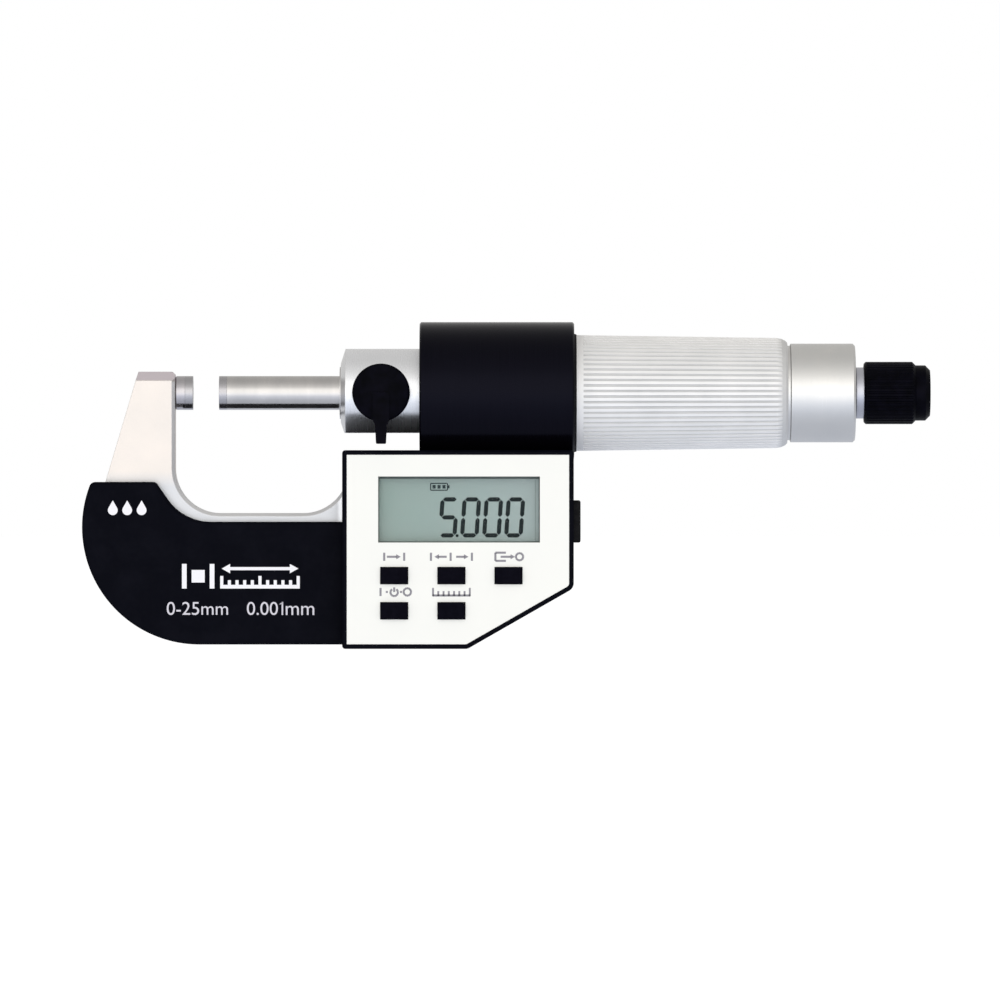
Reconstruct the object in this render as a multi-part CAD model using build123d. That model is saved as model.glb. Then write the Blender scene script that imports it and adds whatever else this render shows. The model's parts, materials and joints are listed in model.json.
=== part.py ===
from build123d import *
import math
import os

# Digital outside micrometer, 0-25 mm, 0.001 mm, standing as it is held to be read.
# Millimetres. +X runs along the spindle from the anvil to the ratchet, +Z is up, and the
# display faces -Y. The origin is the centre of the anvil's measuring face.

# ---- spindle line: radii about the X axis, and stations along it ----
READING = 5.0
SPINDLE_R = 3.25
RUNNING_GAP = 0.03
TIP_LENGTH = 1.5
THREAD_R = 3.6
THREAD_START_X = 67.5
THREAD_RUN_IN = 1.0
TAPER_START_X = 110.0
TAPER_END_X = 120.0
TAPER_END_R = 3.15
STUD_R = 1.75
STUD_X = 111.0
KEY_X = 55.0
KEY_R = 0.8
KEYWAY_FLOOR_R = 2.25
KEYWAY_WIDTH = 1.7
KEYWAY_X = (33.7, 61.4)

# ---- frame ----
FRAME_HALF = 4.0
THROAT_X = -3.4
THROAT_FLOOR_Z = -23.0
THROAT_CORNER_R = 8.6
THROAT_RIGHT_X = 29.8
THROAT_BEVEL = 0.6
BEVEL_END_X = 27.5
ARM_TOP_Z = 4.05
ARM_TOP_LEFT_X = -10.4
ARM_BEVEL = 1.75
ARM_CORNER = 0.55
ANVIL_SHANK_X = -10.0
ANVIL_SHANK_R = 2.5
ANVIL_BEVEL = 0.25
BOW = (1.35, -25.7)
BOW_R = 22.4
GRIP_WRAP = 1.8
FRAME_RIGHT_X = 55.0
FOOT_CUT = (5.0, 3.0)
PLATFORM_Z = -14.0
NOSE_R = 8.45
NOSE_X = 28.3
NOSE_CONE_X = 29.2
NOSE_CONE_R = 5.7
NOSE_FLAT_Z = -7.65
HUB_X = (44.1, 48.5)
HUB_R = 12.35
HUB_WEB_Z = -10.35
BUSH_R = 5.0
BUSH_X = (28.1, 48.4)

# ---- grips ----
GRIP_FACE = 7.0
GRIP_TOP_Z = -17.05
GRIP_INNER_Z = -24.66
GRIP_INNER_R = 10.0
GRIP_INNER_X = 3.5
GRIP_SHOULDER_ANGLE = 217
GRIP_SHOULDER_X = -7.0
GRIP_RIGHT_X = 28.65
GRIP_HEEL_R = 1.2
GRIP_SHOULDER_R = 0.9
GRIP_BEVEL = 0.5
GRIP_SCREWS = [(-14.5, -25.5), (-1.5, -38.0), (21.0, -37.0)]
GRIP_SCREW_R = 0.9
GRIP_HEAD_R = 1.9
GRIP_HEAD_DEEP = 1.2
GRIP_SCREW_TIP_Y = -5.9

# ---- encoder case, sleeve and thimble ----
CASE_X = (43.4, 72.95)
CASE_R = 13.58
CASE_BORE_R = 12.4
CASE_WALL_X = 44.05
END_RING_X = 66.0
END_RING_R = 11.3
WIPER_LENGTH = 1.0
WIPER_SEAT_R = 11.95
WIPER_PROUD = 0.45
FLANGE_X = (60.0, 64.0)
SLEEVE_R = 8.45
SLEEVE_END_X = 103.0
SLEEVE_NECK_X = 96.0
SLEEVE_NECK_R = 7.4
NUT_X = 88.0
NUT_R = 6.2
ADJUSTER_X = (97.0, 102.5)
ADJUSTER_NOTCH = 1.2
THIMBLE_R = 9.45
THIMBLE_BORE_R = 8.6
THIMBLE_X = (73.1, 126.7)
GRIP_SLEEVE_X = (72.6, 113.75)
GRIP_SLEEVE_R = 11.1
GRIP_SLEEVE_END_R = 10.55
SLEEVE_ROUNDING = [(2.2, 0.0), (1.2, 0.15), (0.4, 0.5), (0.0, 0.9)]
FLUTES = 65
FLUTE_START_X = 74.7
FLUTE_DEPTH = 0.26
FLUTE_WIDTH = 0.5
GROOVE_X = (113.75, 114.4)
GROOVE_DEPTH = 0.4
GRUB_ANGLES = (50, -20)
GRUB_X = (46.3, 62.0)
GRUB_R = 1.0
GRUB_FLOOR_R = 11.2
STATOR_X = (48.5, 50.3)
STATOR_R = (12.2, 6.0)
ROTOR_X = (50.9, 52.1)
ROTOR_R = 11.8
ROTOR_HUB_X = (49.0, 57.5)
ROTOR_HUB_R = 5.2
ROTOR_COLLAR_X = 53.4
ROTOR_COLLAR_R = 6.8
WAVE_X = (57.6, 58.25, 58.9, 59.55)
WAVE_THICK = 0.35
WAVE_R = (5.0, 3.9)

# ---- ratchet ----
NECK_R = 4.9
NECK_END_X = 128.4
RATCHET_R = 5.97
RATCHET_X = (128.45, 138.3)
RATCHET_BORE_R = 4.65
RATCHET_WALL_X = (135.2, 136.4)
RATCHET_RIBS = 40
RIB_DEPTH = 0.22
RIB_WIDTH = 0.5
CAP_R = 5.3
CAP_X = 137.6
CAP_END_X = 141.1
CAP_PLUG_R = 4.58
CAP_DIMPLE = (3.2, 0.4)
TEETH = 12
TOOTH_GAP = 1.3
TOOTH_R = (4.4, 3.0)
BASE_X = (111.5, 129.8)
BASE_R = 4.5
WHEEL_X = (130.35, 131.6)
TOOTH_HEIGHT = 0.5
RATCHET_SCREW_R = 0.9
PIVOT_R = 1.6
PIVOT_END_X = 136.45
SCREW_HEAD_R = 2.8
SCREW_HEAD_END_X = 137.4
COIL_X = (131.9, 132.65, 133.4, 134.15, 134.9)
COIL_R = 2.9
COIL_WIRE_R = 0.3

# ---- lock ----
LOCK_X = 36.1
LOCK_STEM_R = 2.0
LOCK_KNOB_R = 5.5
LOCK_KNOB_Y = (-12.6, -8.9)
LOCK_DOME_R = 20.0
LOCK_BOSS_R = 3.4
LOCK_CAP_THICK = 1.6
LEVER_STATIONS = [(1.6, 0.0), (1.55, -5.2), (1.1, -6.4), (0.95, -9.8)]
SHOE_R = 1.5
SHOE_LENGTH = 1.55
SHOE_GAP = 0.27
SPOT_FACE_Y = -7.6
SPOT_FACE_R = 4.0
WASHER_R = 3.5
WASHER_THICK = 0.38

# ---- display box ----
BOX_LEFT_X = 28.7
BOX_RIGHT_X = 72.82
BOX_TOP_Z = -11.01
BOX_BOTTOM_Z = -48.86
BOX_CUT_Z = -37.3
BOX_CUT_X = 52.6
BOX_CORNER_R = 0.6
BOX_BLUNT_R = 1.7
BOX_FRONT_Y = -12.0
BOX_BACK_Y = 7.5
BOX_WALL = 1.4
BOX_FRONT_BEVEL = 0.4
BOX_BACK_BEVEL = 0.6
LABEL_RIM = 0.86
LABEL_THICK = 0.4
PANEL_BACK_Y = -10.2
COVER_INNER_Y = 6.2
WINDOW_X = (35.57, 66.36)
WINDOW_Z = (-28.6, -16.02)
LCD_X = (34.5, 67.2)
LCD_Z = (-29.6, -14.9)
LCD_BACK_Y = -8.75
STRIP_X = (36.0, 66.0)
STRIP_TALL = 1.4
BOARD_Y = (-8.2, -7.2)
PROCESSOR_X = (40.0, 48.0)
PROCESSOR_Z = (-38.0, -30.0)
PROCESSOR_THICK = 1.2
DOME_R = 2.0
DOME_FRONT_Y = -8.55
BUTTON_SIZE = (5.17, 3.13)
BUTTON_PROUD_Y = -12.6
BUTTON_GAP = 0.1
BUTTON_FLANGE = 0.5
BUTTON_FLANGE_Y = -9.75
BUTTON_STEM_Y = -9.15
BUTTON_COLUMNS = (38.62, 49.52, 60.39)
BUTTON_LEVELS = (-34.9, -41.6)
BUTTON_ROWS = {
    "button_set": (BUTTON_COLUMNS[0], BUTTON_LEVELS[0]),
    "button_abs": (BUTTON_COLUMNS[1], BUTTON_LEVELS[0]),
    "button_data": (BUTTON_COLUMNS[2], BUTTON_LEVELS[0]),
    "button_power": (BUTTON_COLUMNS[0], BUTTON_LEVELS[1]),
    "button_units": (BUTTON_COLUMNS[1], BUTTON_LEVELS[1]),
}
BOX_SCREWS = [(32.2, -28.0), (32.2, -44.0), (69.3, -15.7), (66.0, -38.0)]
BOX_SCREW_R = 1.0
BOX_SCREW_TIP_Y = -8.0
BOX_HEAD_R = 1.9
BOX_HEAD_Y = (6.0, 7.2)
BOSS_R = 1.9
BOARD_SCREWS = [(31.8, -14.6), (44.0, -45.6), (57.5, -41.2)]
BOARD_SCREW_R = 0.6
BOARD_HEAD_R = 1.2
BATTERY_X = 63.3
BATTERY_Z = -25.5
BATTERY_R = 5.8
BATTERY_Y = (-1.9, 3.5)
CUP_R = 6.9
CUP_BORE_R = 6.2
CUP_Y = (-2.9, -2.2)
CONTACT_R = 4.0
LEAF_THICK = 0.35
LEAF_HALF = 2.0
CAP_FLANGE_R = 7.9
CAP_BOSS_R = 6.9
CAP_BOSS_Y = 4.1
CAP_FLANGE_Y = 6.45
CAP_PAD_R = 5.4
COIN_SLOT = (5.5, 0.8)
SEAL_Y = 6.16
SEAL_WIRE_R = 0.24
PORT_X = 74.15
PORT_Z = (-28.64, -20.54)
PORT_Y = (-8.0, -2.6)
PORT_HOLE_Y = (-6.5, -4.2)
PORT_SHOULDER = 0.6
SOCKET_X = (64.6, 65.5)
SOCKET_BACK_Y = -3.6
SOCKET_WALL = 0.7
PLUG_X = 66.2
CABLE_Y = (-5.5, -5.3)
RIBBON_X = (48.6, 54.0)
RIBBON_Z = (-19.0, -11.0)

ASSEMBLY = {}


def keep(name, shape):
    """Store one finished piece, or a group of identical pieces, under its node name."""
    ASSEMBLY[name] = shape


# ---- drawing helpers ----
def rod(x_low, x_high, radius):
    """Solid cylinder on the spindle axis."""
    start = (Align.CENTER, Align.CENTER, Align.MIN)
    return Pos(x_low, 0, 0) * Rot(0, 90, 0) * Cylinder(radius, x_high - x_low, align=start)


def ring(x_low, x_high, outer, inner):
    """Plain tube on the spindle axis."""
    return rod(x_low, x_high, outer) - rod(x_low - 1, x_high + 1, inner)


def turned(*points):
    """Body turned about the spindle axis from (x, radius) points."""
    profile = Polyline(*[(x, 0, r) for x, r in points], close=True)
    return revolve(make_face(profile), Axis.X, 360)


def pin_y(x, z, y_low, y_high, radius):
    """Solid cylinder along Y."""
    start = (Align.CENTER, Align.CENTER, Align.MIN)
    return Pos(x, y_high, z) * Rot(90, 0, 0) * Cylinder(radius, y_high - y_low, align=start)


def slab(sketch, y_low, y_high):
    """A face drawn in (x, z), made solid between two y planes."""
    return Pos(0, y_high, 0) * Rot(90, 0, 0) * extrude(sketch, amount=y_high - y_low)


def block(x, y, z):
    """Box between pairs of limits."""
    size = [high - low for low, high in (x, y, z)]
    middle = [(low + high) / 2 for low, high in (x, y, z)]
    return Pos(*middle) * Box(*size)


def polar(centre, radius, angle):
    """Point at an angle in degrees on a circle."""
    turn = math.radians(angle)
    return (centre[0] + radius * math.cos(turn), centre[1] + radius * math.sin(turn))


def arc(centre, radius, start, end):
    """Circular edge between two angles."""
    spots = [polar(centre, radius, a) for a in (start, (start + end) / 2, end)]
    return ThreePointArc(*spots)


def joined(solids):
    """Group of separate solids kept in one node."""
    return Compound(children=list(solids))


# ---- frame and grips ----
def frame_face():
    """Side view of the C-shaped frame with the platform that carries the display box."""
    radius = BOW_R - GRIP_WRAP
    foot_z = BOW[1] - radius
    left = (THROAT_X + THROAT_CORNER_R, THROAT_FLOOR_Z + THROAT_CORNER_R)
    right = (THROAT_RIGHT_X - THROAT_CORNER_R, left[1])
    edges = [
        Line((ARM_TOP_LEFT_X, ARM_TOP_Z), (THROAT_X, ARM_TOP_Z)),
        Line((THROAT_X, ARM_TOP_Z), (THROAT_X, left[1])),
        arc(left, THROAT_CORNER_R, 180, 270),
        Line((left[0], THROAT_FLOOR_Z), (right[0], THROAT_FLOOR_Z)),
        arc(right, THROAT_CORNER_R, 270, 360),
        Line((THROAT_RIGHT_X, right[1]), (THROAT_RIGHT_X, PLATFORM_Z)),
        Line((THROAT_RIGHT_X, PLATFORM_Z), (FRAME_RIGHT_X, PLATFORM_Z)),
        Line((FRAME_RIGHT_X, PLATFORM_Z), (FRAME_RIGHT_X, foot_z + FOOT_CUT[1])),
        Line((FRAME_RIGHT_X, foot_z + FOOT_CUT[1]), (FRAME_RIGHT_X - FOOT_CUT[0], foot_z)),
        Line((FRAME_RIGHT_X - FOOT_CUT[0], foot_z), (BOW[0], foot_z)),
        arc(BOW, radius, 270, 180),
        Line((BOW[0] - radius, BOW[1]), (ARM_TOP_LEFT_X, ARM_TOP_Z)),
    ]
    return make_face(edges)


def grip_face():
    """Side view of one grip cover."""
    foot_z = BOW[1] - BOW_R
    inner = (GRIP_INNER_X, GRIP_INNER_Z + GRIP_INNER_R)
    shoulder = polar(inner, GRIP_INNER_R, GRIP_SHOULDER_ANGLE)
    rise = math.degrees(math.asin((GRIP_TOP_Z - BOW[1]) / BOW_R))
    heel = polar(BOW, BOW_R, 180 - rise)
    face = make_face([
        Line((GRIP_RIGHT_X, GRIP_INNER_Z), (inner[0], GRIP_INNER_Z)),
        arc(inner, GRIP_INNER_R, 270, GRIP_SHOULDER_ANGLE),
        Line(shoulder, (GRIP_SHOULDER_X, GRIP_TOP_Z)),
        Line((GRIP_SHOULDER_X, GRIP_TOP_Z), heel),
        arc(BOW, BOW_R, 180 - rise, 270),
        Line((BOW[0], foot_z), (GRIP_RIGHT_X, foot_z)),
        Line((GRIP_RIGHT_X, foot_z), (GRIP_RIGHT_X, GRIP_INNER_Z)),
    ])
    heel_corner = face.vertices().sort_by_distance((*heel, 0))[0]
    face = fillet(heel_corner, GRIP_HEEL_R)
    shoulder_corner = face.vertices().sort_by_distance((GRIP_SHOULDER_X, GRIP_TOP_Z, 0))[0]
    return fillet(shoulder_corner, GRIP_SHOULDER_R)


def frame_plate():
    """Forged plate of the frame with its bevelled edges and the cut corner of its arm."""
    plate = slab(frame_face(), -FRAME_HALF, FRAME_HALF)

    def on_face(edge):
        return abs(abs(edge.center().Y) - FRAME_HALF) < 0.001

    def in_throat(edge):
        spot = edge.center()
        level = THROAT_FLOOR_Z - 0.1 < spot.Z < ARM_TOP_Z - 0.5
        return on_face(edge) and level and THROAT_X - 0.1 < spot.X < BEVEL_END_X

    throat = [edge for edge in plate.edges() if in_throat(edge)]
    plate = chamfer(throat, THROAT_BEVEL)
    top = [e for e in plate.edges() if on_face(e) and abs(e.center().Z - ARM_TOP_Z) < 0.01]
    plate = chamfer(top, ARM_BEVEL)
    beyond = 1.0
    left, low = THROAT_X - ARM_CORNER - beyond, ARM_TOP_Z - ARM_CORNER - beyond
    right, high = THROAT_X + beyond, ARM_TOP_Z + beyond
    corner = make_face(Polyline((left, high), (right, high), (right, low), close=True))
    return plate - slab(corner, -FRAME_HALF - beyond, FRAME_HALF + beyond)


def frame():
    """One forging: bow, anvil arm, hub ring and nose tube."""
    body = frame_plate()
    body += turned(
        (NOSE_X, 0), (NOSE_X, NOSE_CONE_R), (NOSE_CONE_X, NOSE_R),
        (HUB_X[0], NOSE_R), (HUB_X[0], 0),
    )
    body -= block((NOSE_X - 1, CASE_X[0]), (-NOSE_R, NOSE_R), (-NOSE_R - 1, NOSE_FLAT_Z))
    body += rod(*HUB_X, HUB_R)
    body += block(HUB_X, (-FRAME_HALF, FRAME_HALF), (PLATFORM_Z - 1, HUB_WEB_Z))
    body -= rod(NOSE_X - 1, HUB_X[1] + 1, BUSH_R)
    body -= rod(ANVIL_SHANK_X, 0, ANVIL_SHANK_R)
    body -= pin_y(LOCK_X, 0, -HUB_R, 0, LOCK_STEM_R + 0.05)
    body -= pin_y(LOCK_X, 0, -HUB_R, SPOT_FACE_Y, SPOT_FACE_R)
    through = (-FRAME_HALF - 1, FRAME_HALF + 1)
    for x, z in BOX_SCREWS[:2]:
        body -= pin_y(x, z, *through, BOX_SCREW_R + 0.2)
    for x, z in GRIP_SCREWS:
        body -= pin_y(x, z, *through, GRIP_SCREW_R + 0.1)
    for spot in grub_places(GRUB_X[0]):
        body -= spot * upright_pin(GRUB_R, 4.0)
    keep("frame", body)


def upright_pin(radius, length):
    """Cylinder standing on its own origin, along Z."""
    return Cylinder(radius, length, align=(Align.CENTER, Align.CENTER, Align.MIN))


def grub_places(x):
    """Positions of the case's grub screws, pointing outwards on the back half."""
    for angle in GRUB_ANGLES:
        yield Pos(x, 0, 0) * Rot(angle - 90, 0, 0) * Pos(0, 0, GRUB_FLOOR_R)


def anvil():
    """Fixed anvil pressed into the arm, with its brazed carbide face."""
    body = turned(
        (ANVIL_SHANK_X, 0), (ANVIL_SHANK_X, ANVIL_SHANK_R), (THROAT_X, ANVIL_SHANK_R),
        (THROAT_X, SPINDLE_R - ANVIL_BEVEL), (THROAT_X + ANVIL_BEVEL, SPINDLE_R),
        (-TIP_LENGTH, SPINDLE_R), (-TIP_LENGTH, 0),
    )
    keep("anvil", body)
    keep("anvil_carbide_face", rod(-TIP_LENGTH, 0, SPINDLE_R))


def bevelled_grip(plate, face_y):
    """A grip plate with its outer edge broken, except where it meets the display box."""
    rim = [e for e in plate.edges() if abs(e.center().Y - face_y) < 0.01]
    return chamfer([e for e in rim if e.center().X < GRIP_RIGHT_X - 1], GRIP_BEVEL)


def grips():
    """Insulating covers, each a plate with a rim that wraps half of the frame's edge."""
    frame_room = slab(offset(frame_face(), 0.04), -FRAME_HALF, FRAME_HALF)
    front = bevelled_grip(slab(grip_face(), -GRIP_FACE, -0.02) - frame_room, -GRIP_FACE)
    rear = bevelled_grip(slab(grip_face(), 0.02, GRIP_FACE) - frame_room, GRIP_FACE)
    seat_y = GRIP_FACE - GRIP_HEAD_DEEP
    head_y = GRIP_FACE - 0.15
    screws = []
    for x, z in GRIP_SCREWS:
        rear -= pin_y(x, z, 0, GRIP_FACE + 1, GRIP_SCREW_R + 0.1)
        rear -= pin_y(x, z, seat_y, GRIP_FACE + 1, GRIP_HEAD_R + 0.1)
        front -= pin_y(x, z, GRIP_SCREW_TIP_Y - 0.1, 0, GRIP_SCREW_R)
        head = pin_y(x, z, seat_y, head_y, GRIP_HEAD_R)
        shank = pin_y(x, z, GRIP_SCREW_TIP_Y, seat_y, GRIP_SCREW_R)
        screws.append(cross_slot(head + shank, x, z, head_y))
    keep("grip_cover_front", front)
    keep("grip_cover_rear", rear)
    keep("grip_screws", joined(screws))


def cross_slot(screw, x, z, top_y):
    """Cross recess sunk in the head of a screw that points along Y."""
    reach, half, depth = 1.2, 0.2, 0.5
    deep = (top_y - depth, top_y + 1)
    flat = block((x - reach, x + reach), deep, (z - half, z + half))
    upright = block((x - half, x + half), deep, (z - reach, z + reach))
    return screw - (flat + upright)


# ---- spindle guide and lock ----
def guide_and_lock():
    """Guide bush, and the lever lock whose cam presses a brass shoe on the spindle."""
    bush = ring(*BUSH_X, BUSH_R, SPINDLE_R + RUNNING_GAP)
    bush -= pin_y(LOCK_X, 0, -BUSH_R - 1, 0, SHOE_R + 0.05)
    keep("guide_bush", bush)
    front, back = LOCK_KNOB_Y
    shoe_top = -(SPINDLE_R + SHOE_GAP)
    shoe_foot = shoe_top - SHOE_LENGTH
    stem_front = front + LOCK_CAP_THICK
    keep("lock_shoe", pin_y(LOCK_X, 0, shoe_foot, shoe_top, SHOE_R))
    keep("lock_stem", pin_y(LOCK_X, 0, stem_front, shoe_foot - 0.04, LOCK_STEM_R))
    washer_back = SPOT_FACE_Y - 0.02
    washer = pin_y(LOCK_X, 0, washer_back - WASHER_THICK, washer_back, WASHER_R)
    keep("lock_washer", washer - pin_y(LOCK_X, 0, front, 0, LOCK_STEM_R + 0.08))
    keep("lock_lever", lock_knob() - pin_y(LOCK_X, 0, stem_front, 0, LOCK_STEM_R))


def lock_knob():
    """Domed disc with its boss and the short lever that hangs from it."""
    front, back = LOCK_KNOB_Y
    disc = pin_y(LOCK_X, 0, front, back, LOCK_KNOB_R)
    dome = Pos(LOCK_X, front + LOCK_DOME_R, 0) * Sphere(LOCK_DOME_R)
    disc = fillet((disc & dome).edges().group_by(Axis.Y)[0], 0.6)
    boss = pin_y(LOCK_X, 0, back, SPOT_FACE_Y - WASHER_THICK - 0.07, LOCK_BOSS_R)
    right = [(LOCK_X + half, z) for half, z in LEVER_STATIONS]
    left = [(LOCK_X - half, z) for half, z in reversed(LEVER_STATIONS)]
    lever = slab(make_face(Polyline(*right, *left, close=True)), front - 0.5, back - 0.4)
    return disc + boss + fillet(lever.edges().filter_by(Axis.Y), 0.25)


# ---- encoder ----
def encoder_case():
    """Black case tube with its end ring, wiper and the grub screws that hold it."""
    left, right = CASE_X
    rim = 0.3
    case = turned(
        (left, NOSE_R + 0.05), (left, CASE_R - rim), (left + rim, CASE_R),
        (right - rim, CASE_R), (right, CASE_R - rim), (right, CASE_BORE_R),
        (CASE_WALL_X, CASE_BORE_R), (CASE_WALL_X, NOSE_R + 0.05),
    )
    ribbon_slot = ((CASE_WALL_X, right + 1), (CABLE_Y[0] - 0.5, FRAME_HALF + 0.1), (-CASE_R - 1, -9))
    case -= block(*ribbon_slot)
    seat_x = right - WIPER_LENGTH
    end_ring = turned(
        (END_RING_X, END_RING_R), (END_RING_X, CASE_BORE_R - 0.02), (right, CASE_BORE_R - 0.02),
        (right, WIPER_SEAT_R), (seat_x, WIPER_SEAT_R), (seat_x, END_RING_R),
    )
    lip_r = GRIP_SLEEVE_R + 0.06
    wiper = turned(
        (seat_x, lip_r), (seat_x, WIPER_SEAT_R), (right, WIPER_SEAT_R), (right, END_RING_R + 0.05),
        (right + WIPER_PROUD, END_RING_R - 0.05), (right + WIPER_PROUD, lip_r),
    )
    screws = []
    socket = Pos(0, 0, 1.3) * extrude(RegularPolygon(GRUB_R / 2, 6), amount=1)
    for x in GRUB_X:
        for spot in grub_places(x):
            case -= spot * upright_pin(GRUB_R, 5.0)
            screws.append(spot * (upright_pin(GRUB_R, 2.0) - socket))
    keep("encoder_case", case)
    keep("case_end_ring", end_ring)
    keep("wiper_seal", wiper)
    keep("case_grub_screws", joined(screws))


def encoder():
    """Stator board, the rotor disc keyed to the spindle, and what holds the rotor in place."""
    keep("encoder_stator", ring(*STATOR_X, *STATOR_R))
    keep("encoder_rotor", ring(*ROTOR_X, ROTOR_R, ROTOR_HUB_R))
    inner = SPINDLE_R + RUNNING_GAP
    start, end = ROTOR_HUB_X
    hub = turned(
        (start, inner), (start, ROTOR_HUB_R), (ROTOR_X[1], ROTOR_HUB_R), (ROTOR_X[1], ROTOR_COLLAR_R),
        (ROTOR_COLLAR_X, ROTOR_COLLAR_R), (ROTOR_COLLAR_X, ROTOR_HUB_R), (end, ROTOR_HUB_R), (end, inner),
    )
    keep("rotor_hub", hub - Pos(KEY_X, 0, 0) * upright_pin(KEY_R, ROTOR_HUB_R + 1))
    key_foot = KEYWAY_FLOOR_R + 0.06
    key_length = ROTOR_HUB_R - 0.05 - key_foot
    keep("rotor_key", Pos(KEY_X, 0, key_foot) * upright_pin(KEY_R, key_length))
    keep("thrust_washer", ring(BUSH_X[1] + 0.05, start - 0.05, BUSH_R - 0.05, inner + 0.1))
    keep("rotor_wave_spring", joined(ring(x, x + WAVE_THICK, *WAVE_R) for x in WAVE_X))
    keep("encoder_ribbon", block(RIBBON_X, CABLE_Y, RIBBON_Z))
    around = (RIBBON_X[0] - 0.4, RIBBON_X[1] + 0.4)
    foot = (RIBBON_Z[0] - 0.2, RIBBON_Z[0] + 2.8)
    keep("ribbon_connector", block(around, (BOARD_Y[1], CABLE_Y[0]), foot))


# ---- inner sleeve, spindle and thimble ----
def sleeve():
    """Inner sleeve bolted in the case, with the lead nut and its adjusting ring."""
    flange, flange_end = FLANGE_X
    body = turned(
        (flange, BUSH_R), (flange, HUB_R), (flange_end, HUB_R), (flange_end, SLEEVE_R),
        (SLEEVE_NECK_X, SLEEVE_R), (SLEEVE_NECK_X, SLEEVE_NECK_R), (SLEEVE_END_X, SLEEVE_NECK_R),
        (SLEEVE_END_X, NUT_R), (NUT_X, NUT_R), (NUT_X, BUSH_R),
    )
    for spot in grub_places(GRUB_X[1]):
        body -= spot * upright_pin(GRUB_R, 4.0)
    keep("inner_sleeve", body)
    keep("lead_nut", ring(NUT_X, SLEEVE_END_X, NUT_R, THREAD_R + RUNNING_GAP))
    adjuster = ring(*ADJUSTER_X, SLEEVE_R, SLEEVE_NECK_R)
    half = ADJUSTER_NOTCH / 2
    notch = block((ADJUSTER_X[1] - ADJUSTER_NOTCH, SLEEVE_END_X), (-half, half), (6, 9))
    for quarter in range(4):
        adjuster -= Rot(quarter * 90, 0, 0) * notch
    keep("adjusting_nut", adjuster)


def spindle():
    """Ground spindle, keyway, plain stand-in for the 0.5 mm thread, and thimble taper."""
    tip_x = READING + TIP_LENGTH
    body = turned(
        (tip_x, 0), (tip_x, SPINDLE_R), (THREAD_START_X - THREAD_RUN_IN, SPINDLE_R),
        (THREAD_START_X, THREAD_R), (TAPER_START_X, THREAD_R), (TAPER_END_X, TAPER_END_R),
        (TAPER_END_X, 0),
    )
    half = KEYWAY_WIDTH / 2
    body -= block(KEYWAY_X, (-half, half), (KEYWAY_FLOOR_R, THREAD_R + 1))
    body -= rod(STUD_X, TAPER_END_X + 1, STUD_R)
    keep("spindle", body)
    keep("spindle_carbide_face", rod(READING, tip_x, SPINDLE_R))


def thimble():
    """Thimble drum on the spindle's taper."""
    start, end = THIMBLE_X
    rim = 0.4
    groove_r = THIMBLE_R - GROOVE_DEPTH
    hole_r = STUD_R + 0.1
    seat_x = TAPER_END_X + 0.3
    body = turned(
        (start, THIMBLE_BORE_R), (start, THIMBLE_R), (GROOVE_X[0], THIMBLE_R), (GROOVE_X[0], groove_r),
        (GROOVE_X[1] - 0.15, groove_r), (GROOVE_X[1], THIMBLE_R), (end - rim, THIMBLE_R),
        (end, THIMBLE_R - rim), (end, hole_r), (seat_x, hole_r), (seat_x, TAPER_END_R + 0.01),
        (TAPER_END_X, TAPER_END_R + 0.01), (TAPER_START_X, THREAD_R + 0.01),
        (TAPER_START_X, THIMBLE_BORE_R),
    )
    keep("thimble", body)


def flute_cutters(count, radius, depth, width, x_low, x_high, end_radius=None):
    """Ring of shallow round-bottomed grooves along a cylinder, or a slight cone."""
    cutter_r = (depth ** 2 + (width / 2) ** 2) / (2 * depth)
    fall = math.degrees(math.atan2(radius - (end_radius or radius), x_high - x_low))
    tilt = Pos(x_low, 0, radius - depth + cutter_r) * Rot(0, fall, 0)
    single = tilt * rod(0, x_high - x_low, cutter_r)
    return [Rot(360 * i / count, 0, 0) * single for i in range(count)]


def thimble_grip():
    """Fluted grip sleeve pressed on the thimble, falling slightly towards the ratchet."""
    start, end = GRIP_SLEEVE_X
    wide, slim = GRIP_SLEEVE_R, GRIP_SLEEVE_END_R
    inner = THIMBLE_R + 0.01
    rim = 0.3
    rounded = [(end - back, slim - drop) for back, drop in SLEEVE_ROUNDING]
    blank = turned((start, inner), (start, wide - rim), (start + rim, wide), *rounded, (end, inner))
    flutes = (FLUTE_START_X, end + 1)
    cutters = flute_cutters(FLUTES, wide, FLUTE_DEPTH, FLUTE_WIDTH, *flutes, slim - 0.02)
    keep("thimble_grip", blank - cutters)


# ---- ratchet stop ----
def tooth_ring(x_low, x_high, first_angle):
    """Face teeth as equal sectors, one per pitch."""
    pitch = 360 / TEETH
    outer, inner = TOOTH_R
    teeth = ring(x_low, x_high, outer, inner)
    gap = Pos((x_low + x_high) / 2, 0, (outer + inner) / 2) * Box(2, TOOTH_GAP, 2 * (outer - inner))
    for i in range(TEETH):
        teeth -= Rot(first_angle + i * pitch, 0, 0) * gap
    return teeth


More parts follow.
